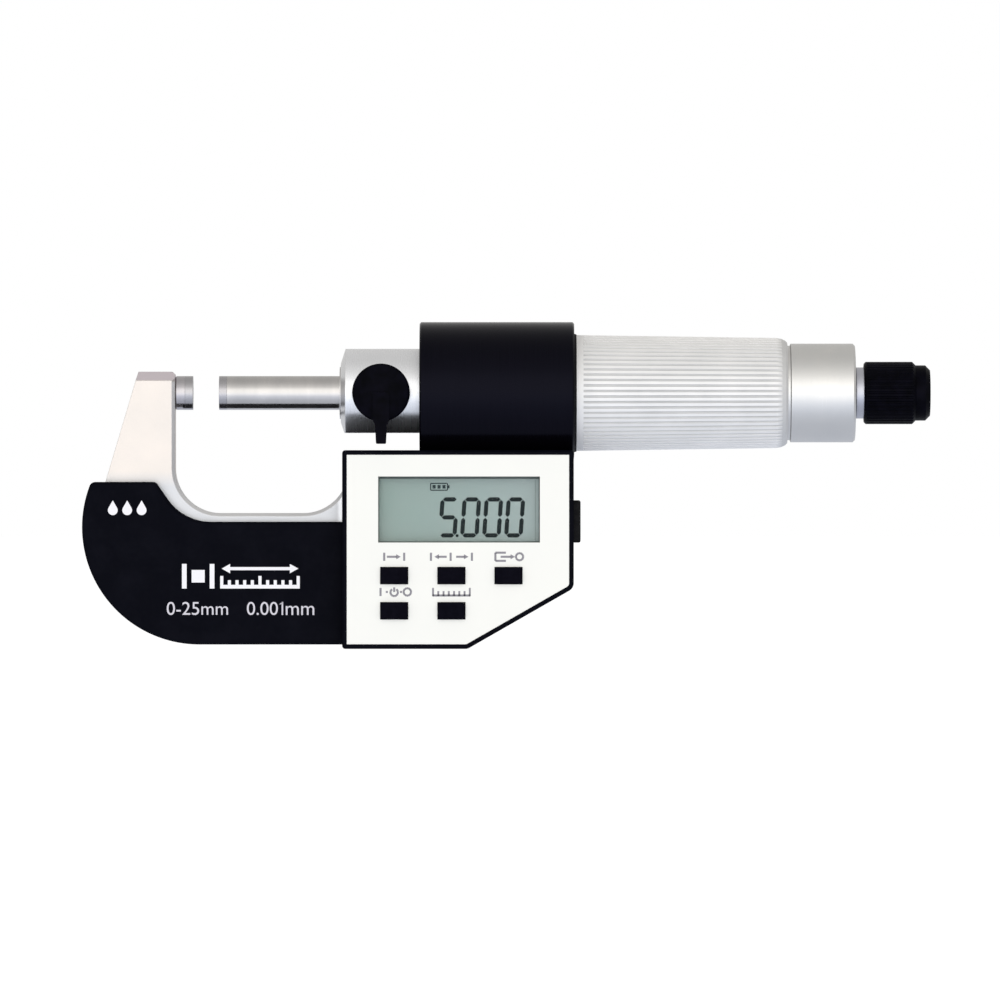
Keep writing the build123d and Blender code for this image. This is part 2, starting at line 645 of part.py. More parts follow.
def ratchet():
    """Ratchet stop: toothed base on the spindle, spring-loaded toothed wheel in the knob."""
    start, face = BASE_X
    shoulder = THIMBLE_X[1]
    rim = 0.3
    base = turned(
        (start, 0), (start, STUD_R), (shoulder, STUD_R), (shoulder, NECK_R - rim), (shoulder + rim, NECK_R),
        (NECK_END_X, NECK_R), (NECK_END_X, BASE_R), (face, BASE_R), (face, 0),
    )
    base += tooth_ring(face - 0.05, face + TOOTH_HEIGHT, 0)
    bore_x = 123.0
    keep("ratchet_base", base - rod(bore_x, face + 1, RATCHET_SCREW_R))
    wheel = ring(*WHEEL_X, RATCHET_BORE_R, PIVOT_R + 0.15)
    wheel += tooth_ring(WHEEL_X[0] - TOOTH_HEIGHT, WHEEL_X[0] + 0.05, 180 / TEETH)
    keep("ratchet_wheel", wheel)
    pivot_x = face + TOOTH_HEIGHT
    screw = rod(bore_x + 0.3, pivot_x, RATCHET_SCREW_R) + rod(pivot_x, PIVOT_END_X, PIVOT_R)
    keep("ratchet_screw", screw + rod(PIVOT_END_X, SCREW_HEAD_END_X, SCREW_HEAD_R))
    coil = Rot(0, 90, 0) * Torus(COIL_R, COIL_WIRE_R)
    keep("ratchet_spring", joined(Pos(x, 0, 0) * coil for x in COIL_X))
    knob_and_cap()


def knob_and_cap():
    """Ribbed ratchet knob with its inner wall, and the plain cap pushed into its end."""
    left, right = RATCHET_X
    inner_left, inner_right = RATCHET_WALL_X
    r = RATCHET_R
    rim, end_rim = 0.35, 0.6
    seat_r = CAP_PLUG_R + 0.02
    knob = turned(
        (left, RATCHET_BORE_R), (left, r - rim), (left + rim, r), (right - end_rim, r),
        (right, r - end_rim), (right, seat_r), (inner_right, seat_r), (inner_right, PIVOT_R + 0.1),
        (inner_left, PIVOT_R + 0.1), (inner_left, RATCHET_BORE_R),
    )
    knob -= flute_cutters(RATCHET_RIBS, r, RIB_DEPTH, RIB_WIDTH, left + 0.5, right + 1)
    keep("ratchet_knob", knob)
    edge = 0.9
    dimple_r, dimple = CAP_DIMPLE
    cap = turned(
        (CAP_X, 0), (CAP_X, CAP_PLUG_R), (right, CAP_PLUG_R), (right, CAP_R), (CAP_END_X - edge, CAP_R),
        (CAP_END_X, CAP_R - edge), (CAP_END_X, dimple_r), (CAP_END_X - dimple, dimple_r - 0.2),
        (CAP_END_X - dimple, 0),
    )
    keep("ratchet_cap", cap)


# ---- display box ----
def box_face(inset):
    """Side view of the display box, moved in by an even rim."""
    face = make_face(Polyline(
        (BOX_LEFT_X, BOX_TOP_Z), (BOX_RIGHT_X, BOX_TOP_Z), (BOX_RIGHT_X, BOX_CUT_Z),
        (BOX_CUT_X, BOX_BOTTOM_Z), (BOX_LEFT_X, BOX_BOTTOM_Z), close=True,
    ))
    blunt = [v for v in face.vertices() if v.X > BOX_CUT_X - 1 and v.Y < BOX_CUT_Z + 1]
    sharp = [v for v in face.vertices() if v not in blunt]
    face = fillet(blunt, BOX_BLUNT_R)
    corners = [v for v in face.vertices() if any(abs(v.X - s.X) + abs(v.Y - s.Y) < 0.01 for s in sharp)]
    face = fillet(corners, BOX_CORNER_R)
    return offset(face, -inset) if inset else face


def window_hole(grow):
    """Opening for the display window, in (x, z)."""
    width = WINDOW_X[1] - WINDOW_X[0] + grow
    height = WINDOW_Z[1] - WINDOW_Z[0] + grow
    return Pos(sum(WINDOW_X) / 2, sum(WINDOW_Z) / 2) * Rectangle(width, height)


def case_room():
    """Space that the encoder case takes from the display box."""
    return rod(CASE_X[0] - 0.1, CASE_X[1] + 1, CASE_R + 0.05)


def display_box():
    """Front housing with its face label, both open for the window and the buttons."""
    ahead = BOX_FRONT_Y - 1
    housing = slab(box_face(0), BOX_FRONT_Y, FRAME_HALF)
    front_edges = [e for e in housing.edges() if abs(e.center().Y - BOX_FRONT_Y) < 0.01]
    housing = chamfer(front_edges, BOX_FRONT_BEVEL)
    housing -= slab(box_face(BOX_WALL), PANEL_BACK_Y, FRAME_HALF + 1)
    for x, z in BOX_SCREWS:
        boss = pin_y(x, z, PANEL_BACK_Y, FRAME_HALF, BOSS_R)
        housing += boss & slab(box_face(0.1), ahead, FRAME_HALF + 1)
    for x, z in BOARD_SCREWS:
        housing += pin_y(x, z, PANEL_BACK_Y, BOARD_Y[0], BOSS_R - 0.5)
    housing -= slab(box_face(LABEL_RIM), ahead, BOX_FRONT_Y + LABEL_THICK)
    housing -= slab(window_hole(0), ahead, PANEL_BACK_Y)
    housing -= slab(offset(frame_face(), 0.04), -FRAME_HALF, FRAME_HALF)
    housing -= case_room()
    port_z = (PORT_Z[0] + PORT_SHOULDER, PORT_Z[1] - PORT_SHOULDER)
    housing -= block((BOX_RIGHT_X - 3, BOX_RIGHT_X + 1), PORT_HOLE_Y, port_z)
    label = slab(box_face(LABEL_RIM + 0.03), BOX_FRONT_Y + 0.05, BOX_FRONT_Y + LABEL_THICK)
    label -= slab(window_hole(0), ahead, 0)
    wide, high = [size / 2 + BUTTON_GAP for size in BUTTON_SIZE]
    for x, z in BUTTON_ROWS.values():
        gap = block((x - wide, x + wide), (ahead, PANEL_BACK_Y + 0.1), (z - high, z + high))
        housing -= gap
        label -= gap
    for x, z in BOX_SCREWS:
        housing -= pin_y(x, z, BOX_SCREW_TIP_Y - 0.2, FRAME_HALF + 1, BOX_SCREW_R)
    for x, z in BOARD_SCREWS:
        housing -= pin_y(x, z, PANEL_BACK_Y + 0.3, BOARD_Y[0] + 1, BOARD_SCREW_R)
    keep("display_housing", housing)
    keep("face_label", label)
    keep("display_window", slab(window_hole(-0.02), BOX_FRONT_Y + 0.15, PANEL_BACK_Y))
    rear_cover()


def rear_cover():
    """Back cover with the battery opening and four countersunk screws."""
    beyond = BOX_BACK_Y + 1.5
    seat_y, head_y = BOX_HEAD_Y
    cover = slab(box_face(0), FRAME_HALF, BOX_BACK_Y)
    back_edges = [e for e in cover.edges() if abs(e.center().Y - BOX_BACK_Y) < 0.01]
    cover = chamfer(back_edges, BOX_BACK_BEVEL)
    pocket = slab(box_face(BOX_WALL), FRAME_HALF - 1, COVER_INNER_Y)
    pocket -= pin_y(BATTERY_X, BATTERY_Z, 0, beyond, CAP_FLANGE_R + 1.0)
    for x, z in BOX_SCREWS:
        pocket -= pin_y(x, z, 0, beyond, BOSS_R + 0.8)
    cover -= pocket
    cover -= case_room()
    cover -= pin_y(BATTERY_X, BATTERY_Z, 0, beyond, CAP_BOSS_R + 0.1)
    cover -= pin_y(BATTERY_X, BATTERY_Z, SEAL_Y - 0.26, beyond, CAP_BOSS_R + 0.65)
    cover -= pin_y(BATTERY_X, BATTERY_Z, CAP_FLANGE_Y - 0.05, beyond, CAP_FLANGE_R + 0.1)
    screws = []
    for x, z in BOX_SCREWS:
        cover -= pin_y(x, z, 0, beyond, BOX_SCREW_R)
        cover -= pin_y(x, z, seat_y, beyond, BOX_HEAD_R + 0.1)
        shank = pin_y(x, z, BOX_SCREW_TIP_Y, seat_y, BOX_SCREW_R)
        screws.append(cross_slot(shank + pin_y(x, z, seat_y, head_y, BOX_HEAD_R), x, z, head_y))
    keep("rear_cover", cover)
    keep("housing_screws", joined(screws))


def display_parts():
    """Liquid crystal panel, contact strips, circuit board with its parts, and buttons."""
    keep("lcd_panel", block(LCD_X, (PANEL_BACK_Y + 0.05, LCD_BACK_Y), LCD_Z))
    strip_feet = (LCD_Z[0] + 0.2, LCD_Z[1] - 0.2 - STRIP_TALL)
    strip_y = (LCD_BACK_Y, BOARD_Y[0])
    keep("contact_strips", joined(block(STRIP_X, strip_y, (z, z + STRIP_TALL)) for z in strip_feet))
    board = slab(box_face(BOX_WALL + 0.3), *BOARD_Y)
    for x, z in BOX_SCREWS:
        board -= pin_y(x, z, BOX_FRONT_Y, 0, BOSS_R + 0.15)
    screws = []
    for x, z in BOARD_SCREWS:
        board -= pin_y(x, z, BOX_FRONT_Y, 0, BOARD_SCREW_R + 0.05)
        shank = pin_y(x, z, PANEL_BACK_Y + 0.4, BOARD_Y[1], BOARD_SCREW_R)
        screws.append(shank + pin_y(x, z, BOARD_Y[1], BOARD_Y[1] + 0.7, BOARD_HEAD_R))
    board -= case_room()
    keep("circuit_board", board)
    keep("board_screws", joined(screws))
    keep("processor", block(PROCESSOR_X, (BOARD_Y[1], BOARD_Y[1] + PROCESSOR_THICK), PROCESSOR_Z))
    domes = [pin_y(x, z, DOME_FRONT_Y, BOARD_Y[0], DOME_R) for x, z in BUTTON_ROWS.values()]
    keep("dome_switches", joined(domes))
    for name, (x, z) in BUTTON_ROWS.items():
        button(name, x, z)


def button(name, x, z):
    """Push button with a rounded cap, a retaining flange and a stem over its dome."""
    wide, high = BUTTON_SIZE[0] / 2, BUTTON_SIZE[1] / 2
    rear = PANEL_BACK_Y + 0.05
    cap = block((x - wide, x + wide), (BUTTON_PROUD_Y, rear), (z - high, z + high))
    cap = fillet(cap.edges().filter_by(Axis.Y), 0.4)
    cap = fillet(cap.edges().group_by(Axis.Y)[0], 0.25)
    wide, high = wide + BUTTON_FLANGE, high + BUTTON_FLANGE
    flange = block((x - wide, x + wide), (rear, BUTTON_FLANGE_Y), (z - high, z + high))
    stem = block((x - 1, x + 1), (BUTTON_FLANGE_Y, BUTTON_STEM_Y), (z - 1, z + 1))
    keep(name, cap + flange + stem)


# ---- battery and data port ----
def battery_set():
    """Button cell, its cup and contacts, and the coin-slotted cap with its seal."""
    def post(y_low, y_high, radius):
        return pin_y(BATTERY_X, BATTERY_Z, y_low, y_high, radius)

    keep("battery", post(*BATTERY_Y, BATTERY_R))
    cup_front, cup_floor = CUP_Y
    cup = post(cup_front, FRAME_HALF, CUP_R) - post(cup_floor, FRAME_HALF + 1, CUP_BORE_R)
    keep("battery_cup", cup)
    negative = post(cup_floor, BATTERY_Y[0], CONTACT_R)
    leaf = post(-1.5, 3.0, BATTERY_R + LEAF_THICK) - post(-2, 4, BATTERY_R)
    side = (BATTERY_X - CUP_R, BATTERY_X - BATTERY_R / 2)
    leaf &= block(side, (-3, 4), (BATTERY_Z - LEAF_HALF, BATTERY_Z + LEAF_HALF))
    keep("battery_contacts", joined([negative, leaf]))
    cap = post(BATTERY_Y[1] + 0.05, CAP_BOSS_Y, CAP_PAD_R) + post(CAP_BOSS_Y, CAP_FLANGE_Y, CAP_BOSS_R)
    cap += post(CAP_FLANGE_Y, BOX_BACK_Y, CAP_FLANGE_R)
    reach, half = COIN_SLOT
    slot_y = (BOX_BACK_Y - 1.0, BOX_BACK_Y + 1)
    slot_z = (BATTERY_Z - half, BATTERY_Z + half)
    keep("battery_cap", cap - block((BATTERY_X - reach, BATTERY_X + reach), slot_y, slot_z))
    seal = Rot(90, 0, 0) * Torus(CAP_BOSS_R + 0.33, SEAL_WIRE_R)
    keep("battery_seal", Pos(BATTERY_X, SEAL_Y, BATTERY_Z) * seal)


def data_port():
    """Contact socket behind the right wall, and the rubber plug that closes it."""
    low, high = PORT_Z
    outer, hollow = SOCKET_X
    wall_y = (BOARD_Y[1], SOCKET_BACK_Y)
    socket = block((outer, BOX_RIGHT_X - BOX_WALL - 0.05), wall_y, (low - SOCKET_WALL, high + SOCKET_WALL))
    hollow_y = (PORT_HOLE_Y[0] + 0.1, PORT_HOLE_Y[1] - 0.1)
    socket -= block((hollow, BOX_RIGHT_X), hollow_y, (low + SOCKET_WALL, high - SOCKET_WALL))
    keep("data_socket", socket)
    flange = block((BOX_RIGHT_X + 0.02, PORT_X), PORT_Y, PORT_Z)
    flange = fillet(flange.edges().filter_by(Axis.X), 0.8)
    flange = fillet(flange.edges().group_by(Axis.X)[-1], 0.4)
    plug_y = (PORT_HOLE_Y[0] + 0.3, PORT_HOLE_Y[1] - 0.3)
    plug = block((PLUG_X, BOX_RIGHT_X + 0.1), plug_y, (low + 1, high - 0.9))
    keep("data_port_plug", flange + plug)


def build():
    """Make every piece, then write one STEP file per node."""
    frame()
    anvil()
    grips()
    guide_and_lock()
    encoder_case()
    encoder()
    sleeve()
    spindle()
    thimble()
    thimble_grip()
    ratchet()
    display_box()
    display_parts()
    battery_set()
    data_port()
    os.makedirs("parts", exist_ok=True)
    for name, shape in ASSEMBLY.items():
        export_step(shape, f"parts/{name}.step")
        print(name)


build()
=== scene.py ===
import json
import math

import bmesh
import bpy
from mathutils import Matrix, Vector


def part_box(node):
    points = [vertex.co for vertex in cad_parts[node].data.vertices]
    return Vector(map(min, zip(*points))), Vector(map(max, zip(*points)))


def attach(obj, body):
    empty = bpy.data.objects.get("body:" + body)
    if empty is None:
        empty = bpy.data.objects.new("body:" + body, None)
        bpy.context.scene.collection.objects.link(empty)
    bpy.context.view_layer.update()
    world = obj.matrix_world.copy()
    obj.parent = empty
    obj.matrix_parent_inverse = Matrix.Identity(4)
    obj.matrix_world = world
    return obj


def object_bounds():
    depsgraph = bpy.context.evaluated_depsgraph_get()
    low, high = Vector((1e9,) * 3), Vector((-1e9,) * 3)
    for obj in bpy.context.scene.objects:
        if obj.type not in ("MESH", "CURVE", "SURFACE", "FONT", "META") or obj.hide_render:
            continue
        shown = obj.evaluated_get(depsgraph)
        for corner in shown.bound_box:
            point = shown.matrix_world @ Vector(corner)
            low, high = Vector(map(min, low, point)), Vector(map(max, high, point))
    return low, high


# Looks, light and camera for the digital outside micrometer. Blender works in metres in the CAD
# frame: +X along the spindle, +Z up, the display faces -Y. Everything measured here is written in
# millimetres and turned into metres with MM. Printed marks are drawn in (x, z).

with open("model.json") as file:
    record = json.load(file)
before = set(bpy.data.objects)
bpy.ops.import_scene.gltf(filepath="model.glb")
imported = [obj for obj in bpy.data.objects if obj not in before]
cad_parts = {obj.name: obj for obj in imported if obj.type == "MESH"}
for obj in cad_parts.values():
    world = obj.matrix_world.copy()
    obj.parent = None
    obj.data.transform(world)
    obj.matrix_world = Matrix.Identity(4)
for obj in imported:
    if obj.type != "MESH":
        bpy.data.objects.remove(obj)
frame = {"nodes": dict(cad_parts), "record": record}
CAD_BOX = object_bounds()
MM = 0.001


def edges_mm(node):
    """A node's lowest and highest corner, in millimetres."""
    low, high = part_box(node)
    return low / MM, high / MM


def placed(mesh, name, material):
    """Turn a bmesh into an object of the scene."""
    data = bpy.data.meshes.new(name)
    mesh.to_mesh(data)
    mesh.free()
    data.materials.append(material)
    made = bpy.data.objects.new(name, data)
    bpy.context.scene.collection.objects.link(made)
    return made


# ---------------------------------------------------------------- materials
class Finish:
    """One procedural material, built outwards from its Principled shader."""

    def __init__(self, name, metal=0.0, shine=0.5):
        self.material = bpy.data.materials.new(name)
        self.material.use_nodes = True
        self.tree = self.material.node_tree
        self.shader = self.tree.nodes["Principled BSDF"]
        self.place = self.node("ShaderNodeTexCoord").outputs["Object"]
        self.normal = None
        self.set("Metallic", metal)
        self.set("Specular IOR Level", shine)

    def node(self, kind, **settings):
        made = self.tree.nodes.new(kind)
        for key, value in settings.items():
            setattr(made, key, value)
        return made

    def join(self, source, target):
        """Link a socket, or set a plain value."""
        if isinstance(source, bpy.types.NodeSocket):
            self.tree.links.new(source, target)
        elif target.type == "RGBA":
            target.default_value = (*source, 1.0)
        else:
            target.default_value = source

    def set(self, name, source):
        self.join(source, self.shader.inputs[name])

    def maths(self, operation, a, b=0.0):
        made = self.node("ShaderNodeMath", operation=operation)
        self.join(a, made.inputs[0])
        self.join(b, made.inputs[1])
        return made.outputs[0]

    def stretched(self, per_mm):
        """Object coordinates times a scale per axis, given in cells per millimetre."""
        made = self.node("ShaderNodeVectorMath", operation="MULTIPLY")
        self.join(self.place, made.inputs[0])
        made.inputs[1].default_value = [s / MM for s in per_mm]
        return made.outputs[0]

    def noise(self, per_mm, detail, rough=0.55):
        """Cloudy factor from 0 to 1. per_mm is one number, or one for each axis."""
        scales = per_mm if isinstance(per_mm, tuple) else (per_mm,) * 3
        made = self.node("ShaderNodeTexNoise")
        self.join(self.stretched(scales), made.inputs["Vector"])
        made.inputs["Scale"].default_value = 1.0
        made.inputs["Detail"].default_value = detail
        made.inputs["Roughness"].default_value = rough
        return made.outputs["Fac"]

    def cells(self, per_mm, feature="F1"):
        """Distance to scattered points, for pits and grains."""
        made = self.node("ShaderNodeTexVoronoi", feature=feature)
        self.join(self.stretched((per_mm,) * 3), made.inputs["Vector"])
        made.inputs["Scale"].default_value = 1.0
        return made.outputs["Distance"]

    def fit(self, value, low, high, to_low=0.0, to_high=1.0):
        """Map a factor from one span to another, held at the ends."""
        made = self.node("ShaderNodeMapRange")
        for source, target in zip((value, low, high, to_low, to_high), made.inputs):
            self.join(source, target)
        return made.outputs[0]

    def spread(self, noise, to_low=0.0, to_high=1.0):
        """Map the middle of a noise factor, where most of it lies, to a whole span."""
        return self.fit(noise, 0.3, 0.7, to_low, to_high)

    def mix(self, factor, a, b):
        """Mix two colours."""
        made = self.node("ShaderNodeMix", data_type="RGBA")
        self.join(factor, made.inputs["Factor"])
        self.join(a, made.inputs["A"])
        self.join(b, made.inputs["B"])
        return made.outputs["Result"]

    def blend(self, factor, a, b):
        """Mix two plain values."""
        made = self.node("ShaderNodeMix", data_type="FLOAT")
        for source, target in zip((factor, a, b), (made.inputs[0], made.inputs[2], made.inputs[3])):
            self.join(source, target)
        return made.outputs[0]

    def chamfer_mask(self):
        """1 on faces cut at a slant to the front, 0 on the front and on the sides."""
        split = self.node("ShaderNodeSeparateXYZ")
        self.join(self.node("ShaderNodeTexCoord").outputs["Normal"], split.inputs[0])
        front = self.maths("ABSOLUTE", split.outputs["Y"])
        return self.maths("MULTIPLY", self.fit(front, 0.97, 0.9), self.fit(front, 0.3, 0.45))

    def along(self, axis):
        """One object coordinate, in millimetres."""
        split = self.node("ShaderNodeSeparateXYZ")
        self.join(self.place, split.inputs[0])
        return self.maths("DIVIDE", split.outputs[axis], MM)

    def off_axis(self):
        """Distance from the spindle axis, in millimetres."""
        y, z = self.along("Y"), self.along("Z")
        squares = self.maths("ADD", self.maths("MULTIPLY", y, y), self.maths("MULTIPLY", z, z))
        return self.maths("SQRT", squares)

    def relief(self, height, depth_um, strength):
        """Add a layer of surface relief, its depth in micrometres."""
        bump = self.node("ShaderNodeBump")
        bump.inputs["Strength"].default_value = strength
        bump.inputs["Distance"].default_value = depth_um * 1e-6
        self.join(height, bump.inputs["Height"])
        if self.normal is not None:
            self.join(self.normal, bump.inputs["Normal"])
        self.normal = bump.outputs[0]
        self.set("Normal", self.normal)

    def rounded(self, radius_mm):
        """Surface direction as if edges had this radius."""
        bevel = self.node("ShaderNodeBevel", samples=4)
        bevel.inputs["Radius"].default_value = radius_mm * MM
        return bevel.outputs[0]

    def soft_edges(self, radius_mm):
        """Round what catches light on sharp edges. Called before any relief."""
        self.normal = self.rounded(radius_mm)
        self.set("Normal", self.normal)

    def edge_mask(self, radius_mm):
        """1 on edges and corners, 0 on plain faces."""
        flat = self.node("ShaderNodeNewGeometry").outputs["Normal"]
        dot = self.node("ShaderNodeVectorMath", operation="DOT_PRODUCT")
        self.join(self.rounded(radius_mm), dot.inputs[0])
        self.join(flat, dot.inputs[1])
        return self.fit(dot.outputs["Value"], 0.99, 0.9)

    def turned_round_x(self, amount):
        """Stretch highlights across marks that run round the spindle axis."""
        tangent = self.node("ShaderNodeTangent", direction_type="RADIAL", axis="X")
        self.set("Anisotropic", amount)
        self.join(tangent.outputs[0], self.shader.inputs["Tangent"])


# Where the tone of the steel changes. The darker bow is painted shade, and the mauve crown is a
# painted reflection.
NOSE_FROM, NOSE_FULL = 27.6, 28.2  # along x, from the plate to the turned nose
SHADED_BOW_FROM, SHADED_BOW_FULL = -15.0, -18.0  # by height, from the arm to the bow
CROWN_FROM, CROWN_FULL = 2.3, 2.5  # by height, from the arm to its top
ANVIL_SIDE, SPINDLE_SIDE = 1.0, 4.0  # along x, in the gap between anvil and spindle


def satin_steel():
    """Bead-blasted chrome on the forged frame, and a finer turned finish on its nose. Painted shade
    darkens the bow, a painted reflection tints the crown, and a painted highlight pales the slanted
    chamfers.
    """
    look = Finish("satin_steel")
    look.soft_edges(0.22)
    nose = look.fit(look.along("X"), NOSE_FROM, NOSE_FULL)
    rest = look.maths("SUBTRACT", 1.0, nose)
    level = look.along("Z")
    tone = look.spread(look.noise(0.09, 4))
    arm = look.mix(tone, (0.64, 0.59, 0.55), (0.58, 0.545, 0.515))
    # painted shade: the bow is a darker, cooler copy of the arm's steel, chosen by height
    shaded_bow = look.mix(tone, (0.53, 0.535, 0.55), (0.49, 0.5, 0.52))
    # painted reflection: the crown on top is tinted mauve
    crown_reflection = look.mix(tone, (0.67, 0.605, 0.64), (0.62, 0.56, 0.595))
    barrel = look.mix(tone, (0.74, 0.745, 0.765), (0.69, 0.695, 0.715))
    plate = look.mix(look.fit(level, SHADED_BOW_FROM, SHADED_BOW_FULL), arm, shaded_bow)
    plate = look.mix(look.fit(level, CROWN_FROM, CROWN_FULL), plate, crown_reflection)
    wear_and_sheen = look.maths("MULTIPLY", look.edge_mask(0.35), 0.4)
    body = look.mix(wear_and_sheen, look.mix(nose, plate, barrel), (0.74, 0.73, 0.72))
    below_crown = look.fit(level, CROWN_FROM, CROWN_FROM - 0.3)
    # painted highlight: slanted chamfers below the crown get a paler, less metallic finish, chosen by
    # the way they face
    chamfer_highlight = look.maths("MULTIPLY", look.maths("MULTIPLY", look.chamfer_mask(), rest), below_crown)
    look.set("Base Color", look.mix(chamfer_highlight, body, (0.62, 0.615, 0.62)))
    paler = look.maths("MULTIPLY", chamfer_highlight, 0.55)
    look.set("Metallic", look.maths("SUBTRACT", look.blend(nose, 1.0, 0.82), paler))
    blast = look.spread(look.noise(5.0, 2), 0.36, 0.48)
    turning = look.spread(look.noise((9.0, 0.15, 0.15), 3), 0.26, 0.31)
    look.set("Roughness", look.blend(nose, blast, turning))
    look.relief(look.maths("MULTIPLY", look.noise(7.0, 3), rest), 5.0, 0.5)
    look.relief(look.maths("MULTIPLY", look.cells(3.0), rest), 3.0, 0.35)
    look.relief(look.maths("MULTIPLY", look.noise((9.0, 0.3, 0.3), 3), nose), 0.8, 0.3)
    return look.material


def ground_steel():
    """Bright ground steel with fine marks round the axis; the anvil is a little darker."""
    look = Finish("ground_steel", metal=1.0)
    look.soft_edges(0.1)
    lines = look.noise((14.0, 0.2, 0.2), 4, 0.7)
    tone = look.spread(look.noise((0.35, 0.1, 0.1), 3))
    bright = look.mix(tone, (0.48, 0.465, 0.455), (0.42, 0.41, 0.405))
    dark = look.mix(tone, (0.42, 0.405, 0.42), (0.34, 0.33, 0.345))
    side = look.fit(look.along("X"), ANVIL_SIDE, SPINDLE_SIDE)
    look.set("Base Color", look.mix(side, dark, bright))
    look.set("Roughness", look.spread(lines, 0.09, 0.18))
    look.turned_round_x(0.45)
    look.relief(lines, 1.2, 0.5)
    return look.material


def carbide():
    """Darker, finely lapped tungsten carbide tip."""
    look = Finish("carbide", metal=1.0)
    look.soft_edges(0.12)
    specks = look.noise(12.0, 4, 0.7)
    cover = look.fit(specks, 0.35, 0.65)
    look.set("Base Color", look.mix(cover, (0.4, 0.39, 0.4), (0.33, 0.325, 0.34)))
    look.set("Roughness", look.spread(specks, 0.14, 0.26))
    look.relief(look.noise((10.0, 0.5, 0.5), 3), 1.0, 0.4)
    return look.material


def satin_chrome():
    """Satin chrome of the thimble drum and of the darker neck beyond it, with turning lines."""
    look = Finish("satin_chrome", metal=1.0)
    look.soft_edges(0.12)
    lines = look.noise((11.0, 0.12, 0.12), 4, 0.65)
    cloud = look.spread(look.noise(0.12, 4))
    drum = look.mix(cloud, (0.605, 0.595, 0.58), (0.555, 0.555, 0.55))
    neck = look.mix(cloud, (0.45, 0.455, 0.5), (0.41, 0.415, 0.46))
    drum_end = edges_mm("thimble")[1].x
    look.set("Base Color", look.mix(look.fit(look.along("X"), drum_end, drum_end + 0.2), drum, neck))
    look.set("Roughness", look.spread(lines, 0.27, 0.38))
    look.turned_round_x(0.25)
    look.relief(lines, 1.6, 0.5)
    look.relief(look.noise(9.0, 2), 1.2, 0.35)
    return look.material


SLEEVE_TAPER = 0.0142  # radius lost per millimetre along the fluted sleeve


def fluted_chrome():
    """Frosted aluminium grip sleeve: pale lands, with painted shade darkening the floor of the
    flutes.
    """
    look = Finish("fluted_chrome", metal=0.3)
    low, high = edges_mm("thimble_grip")
    past = look.maths("MAXIMUM", look.maths("SUBTRACT", look.along("X"), low.x), 0.0)
    crest = look.maths("SUBTRACT", high.z, look.maths("MULTIPLY", past, SLEEVE_TAPER))
    depth = look.maths("SUBTRACT", crest, look.off_axis())
    land = look.fit(depth, 0.2, 0.02)
    tone = look.spread(look.noise(0.14, 4))
    bright = look.mix(tone, (0.8, 0.79, 0.785), (0.74, 0.735, 0.73))
    # painted shade: the flute floors are a darker copy of the lands, set by depth below the crest
    shaded_floor = look.mix(tone, (0.58, 0.575, 0.57), (0.5, 0.5, 0.5))
    look.set("Base Color", look.mix(land, shaded_floor, bright))
    cuts = look.noise((6.0, 1.0, 1.0), 3)
    look.set("Roughness", look.spread(cuts, 0.42, 0.54))
    look.relief(cuts, 2.0, 0.4)
    look.relief(look.noise(8.0, 2), 1.5, 0.4)
    return look.material


def black_plastic():
    """Moulded black plastic with a fine spark-eroded grain."""
    look = Finish("black_plastic", shine=0.022)
    look.soft_edges(0.18)
    scuff = look.fit(look.noise(0.18, 5, 0.65), 0.45, 0.75)
    look.set("Base Color", look.mix(scuff, (0.0018, 0.002, 0.0046), (0.0036, 0.0038, 0.0072)))
    look.set("Roughness", look.spread(look.noise(1.1, 3), 0.36, 0.5))
    look.relief(look.cells(5.5, "SMOOTH_F1"), 9.0, 0.4)
    look.relief(look.noise(2.4, 3), 5.0, 0.3)
    return look.material


def black_case():
    """Black anodised tube with turning lines and a cool sheen."""
    look = Finish("black_case", shine=0.075)
    look.soft_edges(0.2)
    lines = look.noise((8.0, 0.12, 0.12), 4, 0.65)
    base = look.mix(look.spread(lines), (0.0013, 0.0011, 0.0022), (0.0022, 0.0019, 0.0036))
    look.set("Base Color", base)
    look.set("Specular Tint", (0.62, 0.64, 1.0))
    look.set("Roughness", look.spread(lines, 0.17, 0.26))
    look.relief(lines, 2.0, 0.5)
    look.relief(look.noise(7.0, 2), 1.5, 0.3)
    return look.material


def black_knob():
    """Black anodised knobs and lever: satin, with paler bluish edges that are partly handling wear
    and partly a painted sheen.
    """
    look = Finish("black_knob", shine=0.025)
    look.soft_edges(0.14)
    # paler bluish edges: partly wear, partly a painted sheen
    wear_and_sheen = look.maths("MULTIPLY", look.edge_mask(0.08), 0.5)
    cloud = look.fit(look.noise(0.5, 4), 0.35, 0.65)
    base = look.mix(cloud, (0.0006, 0.0006, 0.0018), (0.002, 0.0018, 0.005))
    look.set("Base Color", look.mix(wear_and_sheen, base, (0.008, 0.0085, 0.014)))
    look.set("Roughness", look.spread(look.noise(2.0, 3), 0.32, 0.46))
    look.relief(look.noise((6.0, 3.0, 3.0), 3), 3.0, 0.4)
    return look.material


def black_screws():
    """Black oxide screws with a little bare steel on the edges of the recess."""
    look = Finish("black_screws", metal=0.7)
    look.soft_edges(0.08)
    wear_and_sheen = look.maths("MULTIPLY", look.edge_mask(0.12), 0.55)
    look.set("Base Color", look.mix(wear_and_sheen, (0.02, 0.02, 0.024), (0.2, 0.195, 0.19)))
    look.set("Roughness", look.spread(look.noise(3.0, 4), 0.32, 0.52))
    look.relief(look.noise(6.0, 3), 3.0, 0.5)
    return look.material


